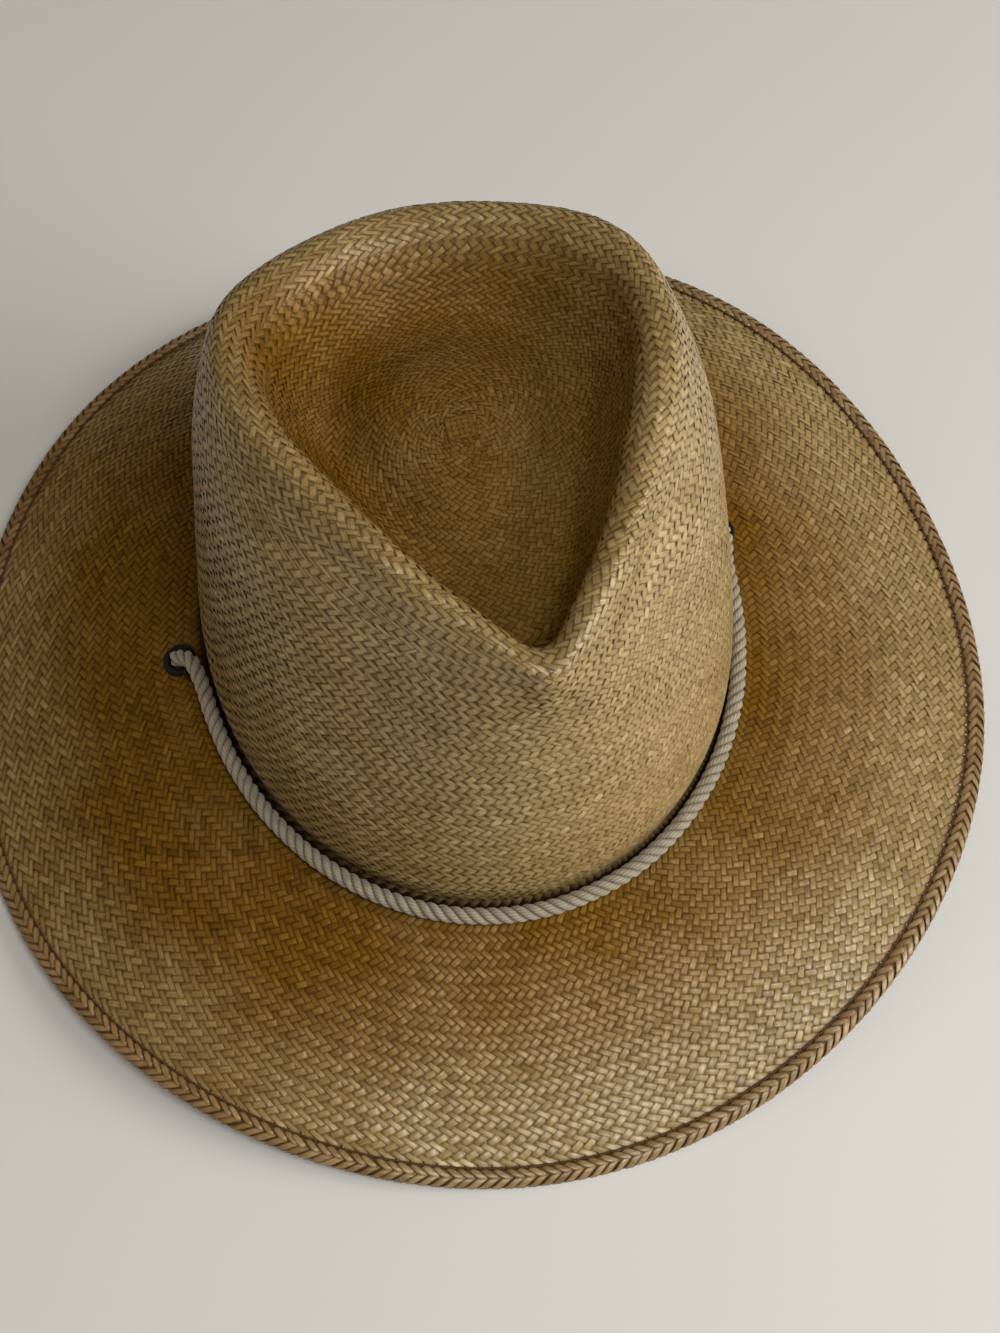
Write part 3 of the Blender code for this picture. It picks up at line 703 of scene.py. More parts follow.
def weave_hat(finish):
    fold = CROWN_STEPS
    woven = woven_field("brim", BRIM_STRIPS, fold - 3, EDGE_ROW, 2, (0, 0), finish)
    outer = SHEET.row_at(CROWN_START)
    woven += woven_field("crown", CROWN_STRIPS, outer - 4, fold + 5, 2, (1, 1), finish)
    for number, (radius, count) in enumerate(TIP_RINGS):
        inner = SHEET.row_at(radius)
        ring = f"tip_ring_{number + 1}"
        woven += woven_field(ring, (count, count), max(inner - 4, 1), outer + 2, 1, (1, 1), finish)
        outer = inner
    first_strips(finish)
    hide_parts("straw_body")


def corners(table):
    """The four corners of each cell of a table, in order round the cell."""
    return np.stack([table[:-1, :-1], table[:-1, 1:], table[1:, 1:], table[1:, :-1]], -1).reshape(-1, 4)


def lofted(name, grid, **values):
    """A closed ring: its section runs down the first axis and is carried round along the second."""
    section, count = grid.shape[:2]
    index = np.pad(np.arange(section * count).reshape(section, count), ((0, 1), (0, 1)), "wrap")
    closed = np.pad(grid, ((0, 1), (0, 1), (0, 0)), "wrap")
    v, u = np.meshgrid(np.linspace(0, 1, section + 1), np.linspace(0, 1, count + 1), indexing="ij")
    layout = np.stack([corners(u), corners(v)], -1)
    mesh = mesh_of(name, grid.reshape(-1, 3), corners(index), layout, **values)
    # A layout in millimetres carries the weave of cloth
    length = np.linalg.norm(np.diff(closed, axis=1), axis=2).sum(1).mean() * 1000
    girth = np.linalg.norm(np.diff(closed, axis=0), axis=2).sum(0).mean() * 1000
    flat = np.stack([corners(u) * length, corners(v) * girth], -1).astype(np.float32)
    mesh.uv_layers.new(name="cloth").data.foreach_set("uv", flat.ravel())
    mesh.uv_layers["OFBake"].active_render = True
    bm = bmesh.new()
    bm.from_mesh(mesh)
    bmesh.ops.recalc_face_normals(bm, faces=bm.faces)
    bm.to_mesh(mesh)
    bm.free()
    return mesh


def edge_frame(phi):
    """Along the brim outwards, and out of its upper face, at the edge."""
    slope = brim_slope(phi)[..., None]
    plan = outward(phi)
    along = np.concatenate([plan * np.cos(slope), -np.sin(slope)], -1)
    up = np.concatenate([plan * np.sin(slope), np.cos(slope)], -1)
    return along, up


def hem_point(phi, turn, grown):
    """The plaited edge's face, at an angle about its own section that is nought at the outer edge."""
    along, up = edge_frame(phi)
    across = np.sign(np.cos(turn)) * np.abs(np.cos(turn)) ** HEM_ACROSS_POWER * (BAND_WIDTH / 2 + grown)
    rise = np.sign(np.sin(turn)) * np.abs(np.sin(turn)) ** HEM_RISE_POWER * (BAND_THICK / 2 + grown)
    middle = brim_point(phi, body_edge(phi)) + along * (FIT + BAND_WIDTH / 2) - up * STRAW / 2
    return middle + along * across[..., None] + up * rise[..., None]


def seam_turn(across):
    """The angle about the hem's section at which its upper face is this far across."""
    share = (abs(across) / (BAND_WIDTH / 2)) ** (1 / HEM_ACROSS_POWER)
    return math.acos(math.copysign(share, across))


def even_turns(first, last, count):
    """Angles about the hem's section that lie an equal length apart on its face."""
    turn = np.linspace(first, last, 400)
    face = hem_point(np.zeros(400), turn, 0.0)
    run = lengths(face)
    return np.interp(np.linspace(0, run[-1], count), run, turn)


def edge_turn(length):
    """The angle about the head at this length round the brim's edge, and the edge's whole length."""
    phi = np.linspace(0, 2 * np.pi, 2881)
    edge = brim_point(phi, brim_width(phi))
    run = lengths(edge)
    whole = np.floor(length / run[-1])
    return np.interp(length - whole * run[-1], run, phi) + whole * 2 * np.pi, run[-1]


def leaf_row(name, turns, lean, tilt, width, finish, *nodes):
    """One row of the plait: a leaf at each spacing, which leans along the edge as it crosses the row."""
    share = np.linspace(0, 1, len(turns))
    _, whole = edge_turn(np.zeros(1))
    start = np.arange(HEM_LEAVES)[:, None] * whole / HEM_LEAVES
    start = start + LEAF_JITTER * RANDOM.standard_normal((HEM_LEAVES, 1))
    phi, _ = edge_turn(start + lean * share)
    turn = np.broadcast_to(turns, phi.shape)
    middle = hem_point(phi, turn, -LEAF_THICK / 2)
    normal = unit(hem_point(phi, turn, 0.0004) - hem_point(phi, turn, -0.0004))
    along = unit(np.gradient(middle, axis=1))
    normal = unit(normal - along * np.einsum("ijk,ijk->ij", normal, along)[..., None])
    side = np.cross(normal, along)
    leant = tilt + 0.04 * RANDOM.standard_normal((HEM_LEAVES, 1))
    side = side * np.cos(leant)[..., None] + normal * np.sin(leant)[..., None]
    taper = 1 - LEAF_TAPER + LEAF_TAPER * np.sin(np.pi * share) ** 0.5
    broad = width / 2 * taper * (1 + 0.06 * RANDOM.standard_normal((HEM_LEAVES, 1)))
    tucked = LEAF_TUCK * (1 - ease(np.minimum(share, 1 - share), 0.0, 0.16))
    middle = middle - normal * np.broadcast_to(tucked, phi.shape)[..., None]
    tone = 0.55 + 0.10 * RANDOM.standard_normal((HEM_LEAVES, 1))
    tone = tone + 0.04 * RANDOM.standard_normal(phi.shape)
    # Browning, with painted shade towards the wearer's right
    stain_and_shade = np.broadcast_to(0.20 + 0.35 * ease(-middle[..., 0], 0.02, 0.15), phi.shape)
    # Painted shade at both ends of each leaf, where it tucks under
    painted_shade = np.broadcast_to(0.5 * (1 - ease(np.minimum(share, 1 - share), 0.02, 0.14)), phi.shape)
    broad, thick = side * broad[..., None], normal * LEAF_THICK / 2
    mesh = ribbon_mesh(name, middle, broad, thick, np.clip(tone, 0, 1), stain_and_shade, painted_shade)
    return add_piece(name, mesh, finish, "plaited_straw", *nodes)


def plait_edge(finish):
    """The brim's edge: leaves that wrap its outer side, and a flatter row inside them on both faces."""
    seam = seam_turn(HEM_SEAM - HEM_OVERLAP[0])
    wrap = even_turns(seam, -seam, 13)
    leaf_row("hem_outer_leaves", wrap, -2 * LEAF_LEAN, OUTER_TILT, LEAF_WIDTH, finish, "brim_edge_band")
    inside = even_turns(seam_turn(HEM_SEAM + HEM_OVERLAP[1]), seam_turn(HEM_GROOVE), 7)
    for word, face in (("above", 1), ("below", -1)):
        name = f"hem_inner_leaves_{word}"
        leaf_row(name, face * inside, -LEAF_LEAN, -face * INNER_TILT, INNER_LEAF * LEAF_WIDTH, finish)
    turn = np.arange(CORE_SIDES) * 2 * np.pi / CORE_SIDES
    phi, _ = edge_turn(np.arange(CORE_STEPS) / CORE_STEPS * edge_turn(np.zeros(1))[1])
    core = hem_point(*np.broadcast_arrays(phi[None, :], turn[:, None]), -CORE_INSET)
    inwards = (1 - np.cos(turn))[:, None, None] / 2
    core = core - edge_frame(phi)[0] * inwards * CORE_REACH
    core[..., 2] = np.maximum(core[..., 2], CORE_LOWEST)
    count = core.shape[0] * core.shape[1]
    # The core shows only in gaps between the leaves, so it is painted dark, as shade
    core_shade = {"tone": np.full(count, 0.3), "stain_and_shade": np.full(count, 0.6), "painted_shade": np.full(count, 0.6)}
    core_shade["fibre"] = np.repeat(turn * 4, core.shape[1])
    add_piece("hem_core", lofted("hem_core", core, **core_shade), finish, "plaited_straw")


def thread_ring(path, first, second, radius):
    """A round thread along a closed path, in the grid that lofted takes."""
    angle = np.arange(6)[:, None, None] * np.pi / 3
    return path[None] + (first[None] * np.cos(angle) + second[None] * np.sin(angle)) * radius


def stitch_dip(marks, count):
    """How far each running stitch stands out of its seam, from one at its middle to below nought."""
    return 1 - 1.9 * np.abs(2 * (marks * count % 1) - 1) ** 5


def sew_edge(finish):
    steps = EDGE_STITCHES * STITCH_STEPS
    marks = np.arange(steps) / steps
    phi, _ = edge_turn(marks * edge_turn(np.zeros(1))[1])
    along, up = edge_frame(phi)
    rise = EDGE_THREAD * (0.25 * stitch_dip(marks, EDGE_STITCHES) + 0.15)
    path = brim_point(phi, body_edge(phi)) + along * FIT / 2 + up * rise[:, None]
    ring = thread_ring(path, along, up, EDGE_THREAD / 2)
    add_piece("edge_stitches", lofted("edge_stitches", ring), finish, "brown_thread", "edge_thread")


def wall_inside(phi, rise, depth):
    """Points this high over the crown's foot and this deep in from its outer face."""
    grid = leaned(smooth(body_rows(phi), ROW_STEPS))
    wall = grid[SHOULDER_ROW * ROW_STEPS : BREAK_ROW * ROW_STEPS + 1][::-1]
    level = base_z(phi) + rise
    plan = np.empty((len(phi), 2))
    for i in range(len(phi)):
        for axis in (0, 1):
            plan[i, axis] = np.interp(level[i], wall[:, i, 2], wall[:, i, axis])
    return np.column_stack([plan - outward(phi) * np.reshape(depth, (-1, 1)), level])


# The sweatband's section, up its outer face and down its inner one: share of its height, depth in millimetres
BAND_SECTION = (
    (0.00, 2.10), (0.03, 1.95), (0.35, 1.95), (0.70, 1.95), (0.97, 1.95), (1.00, 2.15),
    (1.00, 2.95), (0.97, 3.15), (0.86, 3.15), (0.84, 2.98), (0.60, 2.95), (0.38, 2.95),
    (0.20, 2.98), (0.18, 3.20), (0.10, 3.22), (0.02, 3.20), (0.00, 3.00),
)


def line_crown(cloth, thread):
    """The cotton sweatband inside the crown, with its blank tab at the back and the stitches that hold it."""
    phi = np.arange(SWEATBAND_STEPS) * 2 * np.pi / SWEATBAND_STEPS
    slow, quick = SWEATBAND_RIPPLES
    ripple = slow * np.sin(17 * phi + 1.3 * np.sin(3 * phi)) + quick * np.sin(41 * phi)
    rows = []
    for share, depth in BAND_SECTION:
        bowed = ripple * math.sin(math.pi * share) * (depth > 2.5)
        rows.append(wall_inside(phi, SWEATBAND_FOOT + SWEATBAND_HEIGHT * share, depth / 1000 + bowed))
    mesh = lofted("sweatband_cloth", np.array(rows))
    add_piece("sweatband_cloth", mesh, cloth, "sweatband_cotton", "sweatband")

    steps = BAND_STITCHES * STITCH_STEPS
    marks = np.arange(steps) / steps
    phi = marks * 2 * np.pi
    face = STRAW + SEAT + SWEATBAND_THICK + 0.0001
    dip = stitch_dip(marks, BAND_STITCHES)
    path = wall_inside(phi, SWEATBAND_FOOT + BAND_THREAD_RISE, face + BAND_THREAD * (0.1 + 0.4 * dip))
    inward = np.column_stack([-outward(phi), np.zeros(steps)])
    upward = np.broadcast_to((0.0, 0.0, 1.0), inward.shape)
    mesh = lofted("sweatband_stitches", thread_ring(path, inward, upward, BAND_THREAD / 2))
    add_piece("sweatband_stitches", mesh, thread, "pale_thread", "sweatband_thread")

    bm = bmesh.new()
    bmesh.ops.create_grid(bm, x_segments=14, y_segments=18, size=1)
    spots = np.array([vert.co for vert in bm.verts])
    phi = np.pi + spots[:, 0] * TAB_WIDTH / HEAD_WIDTH
    middle = SWEATBAND_FOOT + SWEATBAND_HEIGHT / 2
    rise = middle + spots[:, 1] * (SWEATBAND_HEIGHT / 2 - TAB_MARGIN)
    bulge = TAB_BULGE * (1 - spots[:, 0] ** 4) * (1 - spots[:, 1] ** 4)
    seat = STRAW + SEAT + SWEATBAND_THICK + SEAT
    for vert, point in zip(bm.verts, wall_inside(phi, rise, seat + bulge)):
        vert.co = point
    bmesh.ops.recalc_face_normals(bm, faces=bm.faces)
    bmesh.ops.solidify(bm, geom=bm.faces[:], thickness=TAB_THICK)
    bmesh.ops.recalc_face_normals(bm, faces=bm.faces)
    layer = bm.loops.layers.uv.new("cloth")
    for face in bm.faces:
        for loop in face.loops:
            loop[layer].uv = (loop.vert.co.x * 1000, loop.vert.co.z * 1000)
    mesh = bpy.data.meshes.new("sweatband_tab_cloth")
    bm.to_mesh(mesh)
    bm.free()
    mesh.shade_smooth()
    add_piece("sweatband_tab_cloth", mesh, cloth, "sweatband_cotton", "sweatband_tab")


def eyelet_axis(side, height):
    """A point on an eyelet's axis, this far above the brim."""
    phi = math.radians(side * EYELET_ANGLE + EYELET_TURN)
    out = EYELET_OUT - side * EYELET_SHIFT
    along = brim_point(phi + 0.02, out) - brim_point(phi - 0.02, out)
    outwards = brim_point(phi, out + 0.002) - brim_point(phi, out - 0.002)
    return brim_point(phi, out) + unit(np.cross(outwards, along)) * height


def beside_crown(degrees, out, height):
    return brim_point(math.radians(degrees), out) + np.array([0, 0, height])


def resting(degrees):
    """The rope's middle on the brim, nearer the crown at the sides than at the front."""
    share = math.cos(math.radians(degrees)) ** 2
    out = ROPE_OUT_SIDE + (ROPE_OUT_FRONT - ROPE_OUT_SIDE) * share
    return beside_crown(degrees, out, ROPE / 2 + SEAT)


def cord_half(side):
    """Up out of the eyelet, over to the crown, then round it to near the front."""
    half = [eyelet_axis(side, SEAT - FIT), eyelet_axis(side, SEAT + EYELET_FLANGE_THICK + ROPE_RISE)]
    half += [beside_crown(side * degrees, out, height) for degrees, out, height in ROPE_BEND]
    return half + [resting(side * degrees) for degrees in ROPE_REST]


def crown_route():
    return smooth([*cord_half(1), resting(0), *cord_half(-1)[::-1]], 12)


def chin_route(side):
    """One leg of the chin cord: down from its eyelet, back under the brim, then along its run."""
    beyond = RUN_SPACING if side < 0 else 0
    start = [eyelet_axis(side, -depth) for depth in CHIN_DROP]
    lying = [np.array((side * x, y + share * beyond + MIDDLE_Y, z)) for x, y, share, z in CHIN_BEND]
    return smooth(start + lying, 12)


def even(curve, gap):
    """Points along a curve, about this far apart, with the length to each."""
    run = lengths(curve)
    marks = np.linspace(0, run[-1], max(2, round(run[-1] / gap) + 1))
    return np.column_stack([np.interp(marks, run, curve[:, axis]) for axis in range(3)]), marks


def carried_frames(points):
    """Two directions across a path that turn with it and never twist about it."""
    along = unit(np.gradient(points, axis=0))
    first = np.zeros_like(points)
    first[0] = unit(np.cross(along[0], (0.3, 0.5, 0.8)))
    for i in range(1, len(points)):
        first[i] = unit(first[i - 1] - along[i] * (first[i - 1] @ along[i]))
    return first, np.cross(along, first)


def strand_tubes(name, paths, radius):
    """Round strands along paths, with yarns that spiral against the rope and a tone that paints shade into
    the grooves.
    """
    points, faces, tones, yarn_layout, layout = [], [], [], [], []
    sides = STRAND_SIDES
    angle = np.arange(sides) * 2 * np.pi / sides
    for number, (path, centre) in enumerate(paths):
        first, second = carried_frames(path)
        ring = first[:, None] * np.cos(angle)[None, :, None] + second[:, None] * np.sin(angle)[None, :, None]
        skin = path[:, None] + ring * radius
        reach = np.linalg.norm(skin - centre[:, None], axis=2) / (ROPE / 2)
        index = number * len(path) * sides + np.arange(len(path) * sides).reshape(len(path), sides)
        faces.append(corners(np.pad(index, ((0, 0), (0, 1)), "wrap")))
        points.append(skin.reshape(-1, 3))
        # Painted shade: each strand darkens where it turns in towards the rope's middle, in the grooves
        tones.append(np.clip((0.93 - reach) * 2.6, 0, 1).ravel())
        run = lengths(path)
        u, v = np.meshgrid(run / radius, np.arange(sides + 1) / sides, indexing="ij")
        yarn_layout.append(np.stack([corners(u * 0.16 + v) * STRAND_YARNS * 0.32, corners(u) * 0.05], -1))
        flat = np.broadcast_to(np.linspace(0.01, 0.99, len(path))[:, None], u.shape)
        layout.append(np.stack([corners(flat), (corners(v) * 0.94 + 0.03 + number) / len(paths)], -1))
    points, faces, layout, tones = [np.concatenate(part) for part in (points, faces, layout, tones)]
    mesh = mesh_of(name, points, faces, layout, tone=tones)
    spiral = np.concatenate(yarn_layout).astype(np.float32)
    mesh.uv_layers.new(name="yarn").data.foreach_set("uv", spiral.ravel())
    mesh.uv_layers["OFBake"].active_render = True
    return mesh


def laid_rope(name, curve):
    """Three strands laid right-handed round a path."""
    path, marks = even(curve, ROPE_STEP)
    first, second = carried_frames(path)
    paths = []
    for strand in range(3):
        turn = 2 * np.pi * (marks / ROPE_LAY + strand / 3)
        out = first * np.cos(turn)[:, None] + second * np.sin(turn)[:, None]
        paths.append((path + out * (ROPE / 2 - STRAND), path))
    return strand_tubes(name, paths, STRAND), path


# A wall knot's strand: how far out from the cord's line, how far along it and how many turns about it
KNOT_STRAND = (
    (1.4, 0.0, 0.00), (2.0, 1.5, 0.10), (3.8, 3.1, 0.24), (4.1, 4.1, 0.42),
    (4.1, 5.7, 0.62), (3.9, 7.5, 0.82), (3.2, 9.0, 0.98), (2.1, 10.2, 1.08),
    (1.5, 11.6, 1.16), (1.5, 14.3, 1.28), (1.7, 17.6, 1.36), (2.0, 20.6, 1.42),
)


def tied_end(name, side):
    """A wall knot: the three strands turn once round each other, tuck under and come out as a short tail."""
    run_y = (RUN_Y + RUN_SPACING if side < 0 else RUN_Y) + MIDDLE_Y
    start = np.array((-side * (RUN_HALF + FIT), run_y, RUN_Z))
    reach, along, turns = smooth(KNOT_STRAND, 10).T
    centre = start + np.column_stack([-side * along, 0 * along, 0 * along]) / 1000
    paths = []
    for strand in range(3):
        angle = 2 * np.pi * (turns + strand / 3)
        out = np.column_stack([0 * angle, np.cos(angle), np.sin(angle)]) * reach[:, None] / 1000
        paths.append((centre + out, centre))
    return strand_tubes(name, paths, KNOT_STRAND_SIZE)


def add_cords(cotton):
    mesh, _ = laid_rope("crown_rope", crown_route())
    add_piece("crown_rope", mesh, cotton, "cotton_rope", "crown_cord")
    for side, word in ((1, "left"), (-1, "right")):
        end = f"tied_end_{word}"
        knot = add_piece(end, tied_end(end, side), cotton, "cotton_rope", f"cord_knot_{word}")
        mesh, path = laid_rope(f"chin_rope_{word}", chin_route(side))
        rope = add_piece(f"chin_rope_{word}", mesh, cotton, "cotton_rope", f"chin_cord_{word}")
        [tuple(point) for point in path[::6]]


def plug(tree, node, inputs):
    """Sets each input of a node to its value, or links a socket to it."""
    for name, value in inputs.items():
        if isinstance(value, bpy.types.NodeSocket):
            tree.links.new(value, node.inputs[name])
        else:
            node.inputs[name].default_value = value


def add_node(tree, kind, inputs=None, **settings):
    """Adds a node with its settings and inputs."""
    made = tree.nodes.new(kind)
    for name, value in settings.items():
        setattr(made, name, value)
    plug(tree, made, inputs or {})
    return made


def colour(hexa):
    """An sRGB hex colour as linear light."""
    parts = [int(hexa[i : i + 2], 16) / 255 for i in (1, 3, 5)]
    return (*[p / 12.92 if p <= 0.04045 else ((p + 0.055) / 1.055) ** 2.4 for p in parts], 1.0)


def mixed(tree, share, first, second):
    """One colour that turns into another. Each is a hex colour or a socket."""
    first, second = [colour(end) if isinstance(end, str) else end for end in (first, second)]
    return add_node(tree, "ShaderNodeMix", {0: share, 6: first, 7: second}, data_type="RGBA").outputs[2]


def spread(tree, value, low=0.0, high=1.0, to=(0.0, 1.0)):
    """A value between two limits, spread between two others."""
    ends = {"From Min": low, "From Max": high, "To Min": to[0], "To Max": to[1]}
    return add_node(tree, "ShaderNodeMapRange", {"Value": value, **ends}).outputs[0]


def noise(tree, place, scale, detail):
    inputs = {"Vector": place, "Scale": scale, "Detail": detail}
    return add_node(tree, "ShaderNodeTexNoise", inputs).outputs["Fac"]


def wave(tree, layout, direction, **inputs):
    """Stripes across a flat layout."""
    flat = add_node(tree, "ShaderNodeUVMap", uv_map=layout).outputs[0]
    inputs = {"Vector": flat, **inputs}
    return add_node(tree, "ShaderNodeTexWave", inputs, bands_direction=direction).outputs["Fac"]


def reckoned(tree, kind, operation, first, second, **settings):
    """Two numbers, colours or vectors brought together by an operation."""
    inputs = {0: first, 1: second}
    return add_node(tree, "ShaderNode" + kind, inputs, operation=operation, **settings).outputs[0]


def bumped(tree, height, strength, depth):
    inputs = {"Height": height, "Strength": strength, "Distance": depth}
    return add_node(tree, "ShaderNodeBump", inputs).outputs[0]


def value_of(tree, name):
    """A number that the mesh holds at each point."""
    return add_node(tree, "ShaderNodeAttribute", attribute_name=name).outputs["Fac"]


def new_material(name):
    """A material with its tree, its shader and the place of each point in metres."""
    made = bpy.data.materials.new(name)
    made.use_nodes = True
    tree = made.node_tree
    place = add_node(tree, "ShaderNodeTexCoord").outputs["Object"]
    return made, tree, tree.nodes["Principled BSDF"], place


def palm_straw(name, dark, middle, pale, browned):
    """Toquilla palm, split and bleached: satin strips that differ a little in tan, browned where handled and
    darkened by painted shade in the joints and on the wearer's right.
    """
    made, tree, shader, place = new_material(name)
    held = ("tone", "stain_and_shade", "painted_shade", "rim", "fibre")
    tone, stain_and_shade, painted_shade, rim, across = [value_of(tree, word) for word in held]
    # Painted shade at the cut edges of a strip, where its neighbours shade it
    painted_shade = reckoned(tree, "Math", "MAXIMUM", painted_shade, spread(tree, rim, 0.47, to=(0.0, 0.66)))
    base = mixed(tree, spread(tree, tone, 0.0, 0.5), dark, middle)
    base = mixed(tree, spread(tree, tone, 0.5, 1.0), base, pale)
    # The browning drifts in patches about 30 mm across
    drift = spread(tree, noise(tree, place, 33.0, 3.0), 0.3, 0.7, to=(-0.14, 0.14))
    reach = reckoned(tree, "Math", "ADD", stain_and_shade, drift, use_clamp=True)
    base = mixed(tree, reach, base, reckoned(tree, "VectorMath", "MULTIPLY", base, colour(browned)[:3]))
    # Flecks are about 0.6 mm across, and fibres run along a strip for about 5 mm
    fleck = noise(tree, place, 1600.0, 2.0)
    along = add_node(tree, "ShaderNodeVectorMath", {0: place, "Scale": 200.0}, operation="SCALE").outputs[0]
    lifted = add_node(tree, "ShaderNodeCombineXYZ", {"X": across, "Y": across}).outputs[0]
    fibre = noise(tree, reckoned(tree, "VectorMath", "ADD", along, lifted), 1.0, 2.0)
    for pattern, shades in ((fleck, (0.88, 1.08)), (fibre, (0.74, 1.2))):
        base = reckoned(tree, "VectorMath", "MULTIPLY", base, spread(tree, pattern, 0.3, 0.7, to=shades))
    # Painted shade in the joints, at the cut edges and in the fold darkens the straw to near black brown
    base = mixed(tree, painted_shade, base, "#241709")
    # Painted shade takes the straw's shine, and browning with its painted side shade takes some of it and
    # warms the rest
    out_of_shade = spread(tree, painted_shade, to=(0.74, 0.0))
    waxy = spread(tree, reach, to=(1.0, 0.40))
    looks = {"Base Color": base, "Roughness": spread(tree, fibre, 0.3, 0.7, to=(0.40, 0.25))}
    looks["Specular IOR Level"] = reckoned(tree, "Math", "MULTIPLY", out_of_shade, waxy)
    looks["Specular Tint"] = mixed(tree, reach, "#fffaf0", "#dcb274")
    plug(tree, shader, {**looks, "Normal": bumped(tree, fibre, 0.35, 0.00010)})
    return made


def laid_cotton(name):
    """Three-strand cotton rope, spun from soft yarn: dull, greyish cream, with painted shade that darkens the
    grooves between strands.
    """
    made, tree, shader, place = new_material(name)
    yarn = wave(tree, "yarn", "X", Scale=1.0, Distortion=1.2, Detail=2.0)
    base = mixed(tree, yarn, "#8f846f", "#aa9f8c")
    dull = spread(tree, noise(tree, place, 260.0, 3.0), 0.4, 0.75, to=(0.0, 0.45))
    base = mixed(tree, dull, base, "#6b5f50")
    # Painted shade in the grooves between strands
    base = mixed(tree, value_of(tree, "tone"), base, "#1c1006")
    looks = {"Base Color": base, "Roughness": 0.92, "Sheen Weight": 0.25}
    plug(tree, shader, {**looks, "Normal": bumped(tree, yarn, 0.5, 0.00018)})
    return made


def cotton_twill(name):
    """Cotton twill: matte, with ribs on the slant about 1 mm apart, a little coarse so that they show."""
    made, tree, shader, place = new_material(name)
    rib = wave(tree, "cloth", "DIAGONAL", Scale=0.22, Distortion=0.4)
    base = mixed(tree, rib, "#7d6d57", "#9c8c74")
    soiled = spread(tree, noise(tree, place, 70.0, 4.0), 0.45, 0.7, to=(0.0, 0.6))
    base = mixed(tree, soiled, base, "#6d5b43")
    looks = {"Base Color": base, "Roughness": 0.9, "Sheen Weight": 0.2}
    plug(tree, shader, {**looks, "Normal": bumped(tree, rib, 0.5, 0.0002)})
    return made


def turned_beech(name):
    """Beech, drilled and sanded: warm pink-brown, with short darker rays along the grain and a satin oil."""
    made, tree, shader, place = new_material(name)
    # The grain runs along the slider, with lines about 0.8 mm apart and rays about 3 mm long
    spot = add_node(tree, "ShaderNodeMapping", {"Vector": place, "Scale": (160.0, 1200.0, 1200.0)}).outputs[0]
    grain = noise(tree, spot, 1.0, 4.0)
    base = mixed(tree, grain, "#7c5431", "#b98a5c")
    rough = spread(tree, grain, 0.3, 0.7, to=(0.55, 0.4))
    plug(tree, shader, {"Base Color": base, "Roughness": rough, "Normal": bumped(tree, grain, 0.2, 0.0001)})
    return made


def black_enamel(name):
    """Brass, stamped and enamelled black: satin, with fine rubs that dull it in patches."""
    made, tree, shader, place = new_material(name)
    rubs = noise(tree, place, 700.0, 4.0)
    looks = {"Base Color": mixed(tree, rubs, "#030303", "#0b0a09"), "Specular IOR Level": 0.22}
    plug(tree, shader, {**looks, "Roughness": spread(tree, rubs, 0.35, 0.7, to=(0.30, 0.55))})
    return made


def plain_matte(name, scale, roughness, dark, pale):
    """A matte surface that drifts from one shade to another."""
    made, tree, shader, place = new_material(name)
    base = mixed(tree, noise(tree, place, scale, 2.0), dark, pale)
    plug(tree, shader, {"Base Color": base, "Roughness": roughness})
    return made


def spun_thread(name, dark, pale):
    """Sewing thread: matte, with a twist about 1 mm long that shades it from dark to pale."""
    return plain_matte(name, 900.0, 0.8, dark, pale)


def pale_paper(name):
    """The floor: plain matte paper, a shade off white, that hardly drifts."""
    return plain_matte(name, 3.0, 0.9, "#d4d4d2", "#dbdbd9")


# Camera, as the photograph was taken
CAMERA_AT = Vector((-0.0514, -0.3122 + MIDDLE_Y, 0.6014))
CAMERA_RIGHT = Vector((0.97, -0.2417, -0.0245)).normalized()
CAMERA_BACK = Vector((-0.0903, -0.4523, 0.8873)).normalized()
FOCAL_PIXELS = 1950
PHOTO_HEIGHT = 1333
SENSOR = 36

# The floor's half width and how far under the hat it lies, and each light: place, size, power and tint
FLOOR_HALF = 4
FLOOR_GAP = 0.0002
LIGHTS = {
    "window": ((1.20, -0.68, 0.74), 1.1, 18.5, "#fffdf8"),
    "skylight": ((0.28, -0.64, 1.38), 0.5, 8.5, "#fdfeff"),
    "wall": ((-1.30, 0.20, 0.80), 1.2, 1.6, "#fff0dc"),
}
LIT_POINT = Vector((0, 0, 0.06))
ROOM_TINT = "#ffeed4"
ROOM_POWER = 0.22


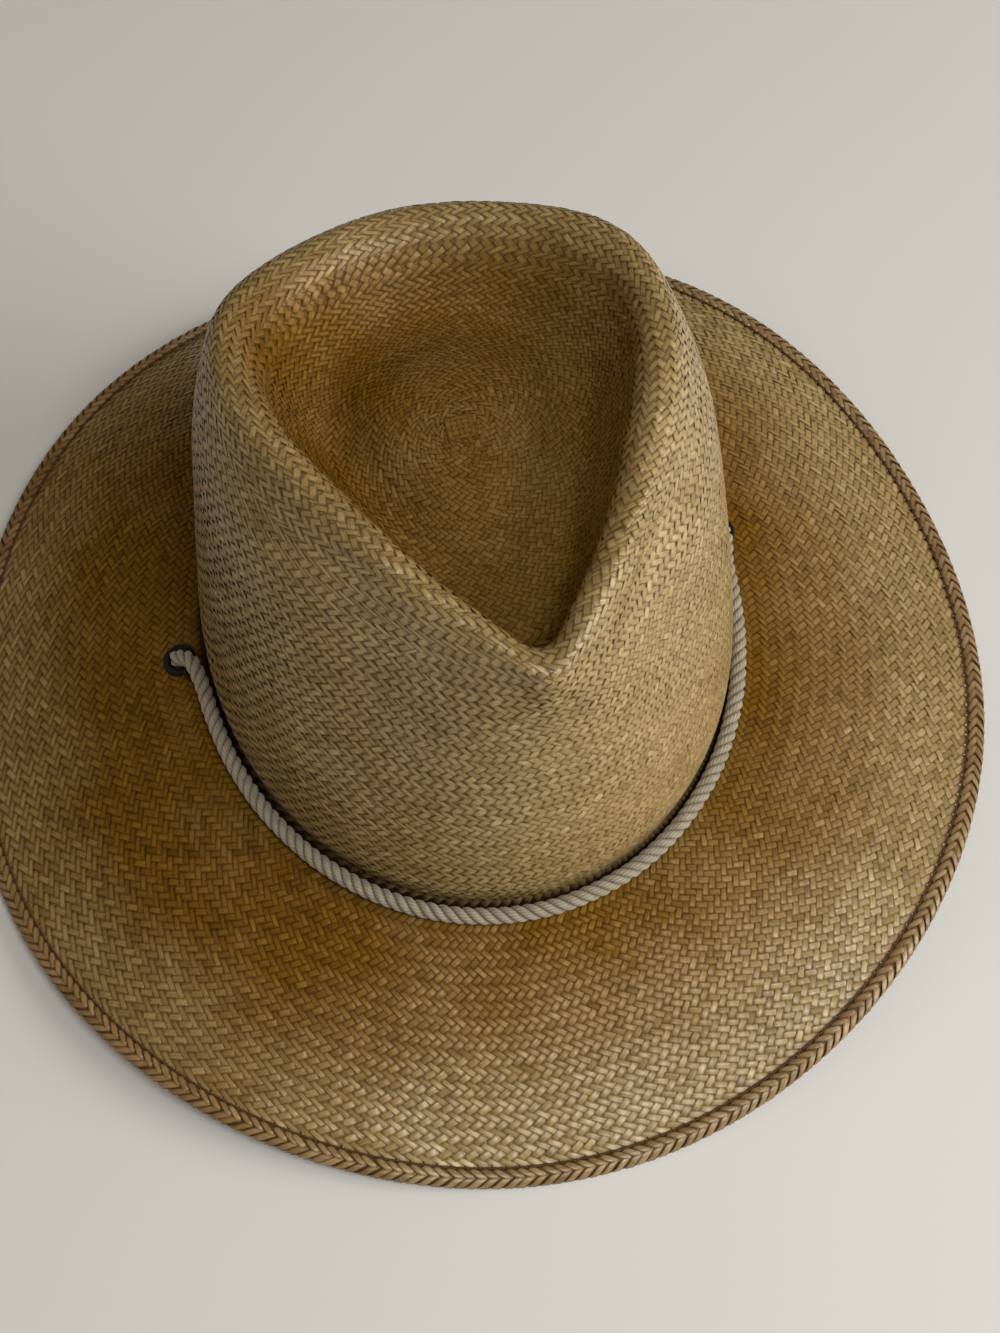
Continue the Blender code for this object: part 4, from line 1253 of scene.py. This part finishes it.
def add_camera():
    lens = bpy.data.cameras.new("camera")
    lens.lens = FOCAL_PIXELS * SENSOR / PHOTO_HEIGHT
    lens.sensor_width = SENSOR
    lens.clip_start = 0.01
    camera = bpy.data.objects.new("camera", lens)
    up = CAMERA_BACK.cross(CAMERA_RIGHT).normalized()
    right = up.cross(CAMERA_BACK)
    turn = Matrix((right, up, CAMERA_BACK)).transposed().to_4x4()
    camera.matrix_world = Matrix.Translation(CAMERA_AT) @ turn
    SCENE.collection.objects.link(camera)
    SCENE.camera = camera


def add_floor():
    bm = bmesh.new()
    bmesh.ops.create_grid(bm, x_segments=1, y_segments=1, size=FLOOR_HALF)
    mesh = bpy.data.meshes.new("floor")
    bm.to_mesh(mesh)
    bm.free()
    floor = bpy.data.objects.new("floor", mesh)
    floor.location.z = -FLOOR_GAP
    SCENE.collection.objects.link(floor)
    mesh.materials.append(pale_paper("pale_paper_floor"))
    floor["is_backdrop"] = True


def add_light(name, at, size, power, tint):
    data = bpy.data.lights.new(name, "AREA")
    data.shape = "DISK"
    data.size = size
    data.energy = power
    data.color = colour(tint)[:3]
    light = bpy.data.objects.new(name, data)
    light.location = at
    light.rotation_euler = (LIT_POINT - Vector(at)).to_track_quat("-Z", "Y").to_euler()
    SCENE.collection.objects.link(light)


def add_lights():
    for name, settings in LIGHTS.items():
        add_light(name, *settings)
    world = bpy.data.worlds.new("studio")
    world.use_nodes = True
    room = world.node_tree.nodes["Background"]
    plug(world.node_tree, room, {"Color": colour(ROOM_TINT), "Strength": ROOM_POWER})
    SCENE.world = world


def finish_hardware():
    """The eyelets, washers and slider keep the model's own shapes."""
    enamel = black_enamel("black_enamelled_brass")
    beech = turned_beech("sanded_beech")
    for node in ("eyelet_left", "eyelet_right", "eyelet_washer_left", "eyelet_washer_right"):
        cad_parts[node].material_slots[0].material = enamel
    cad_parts["cord_slider"].material_slots[0].material = beech


add_camera()
add_cords(laid_cotton("laid_cotton_rope"))
weave_hat(palm_straw("woven_palm_straw", "#705a36", "#a28858", "#c6af7e", "#b4984a"))
plait_edge(palm_straw("plaited_palm_straw", "#6c5434", "#967b54", "#bca47c", "#b8944e"))
sew_edge(spun_thread("brown_linen_thread", "#3c2410", "#5a3818"))
line_crown(cotton_twill("sweatband_twill"), spun_thread("pale_cotton_thread", "#a4937a", "#c9bba2"))
finish_hardware()
add_floor()
add_lights()
SCENE.view_settings.view_transform = "Standard"

boxes = {"cad": CAD_BOX, "visual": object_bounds()}
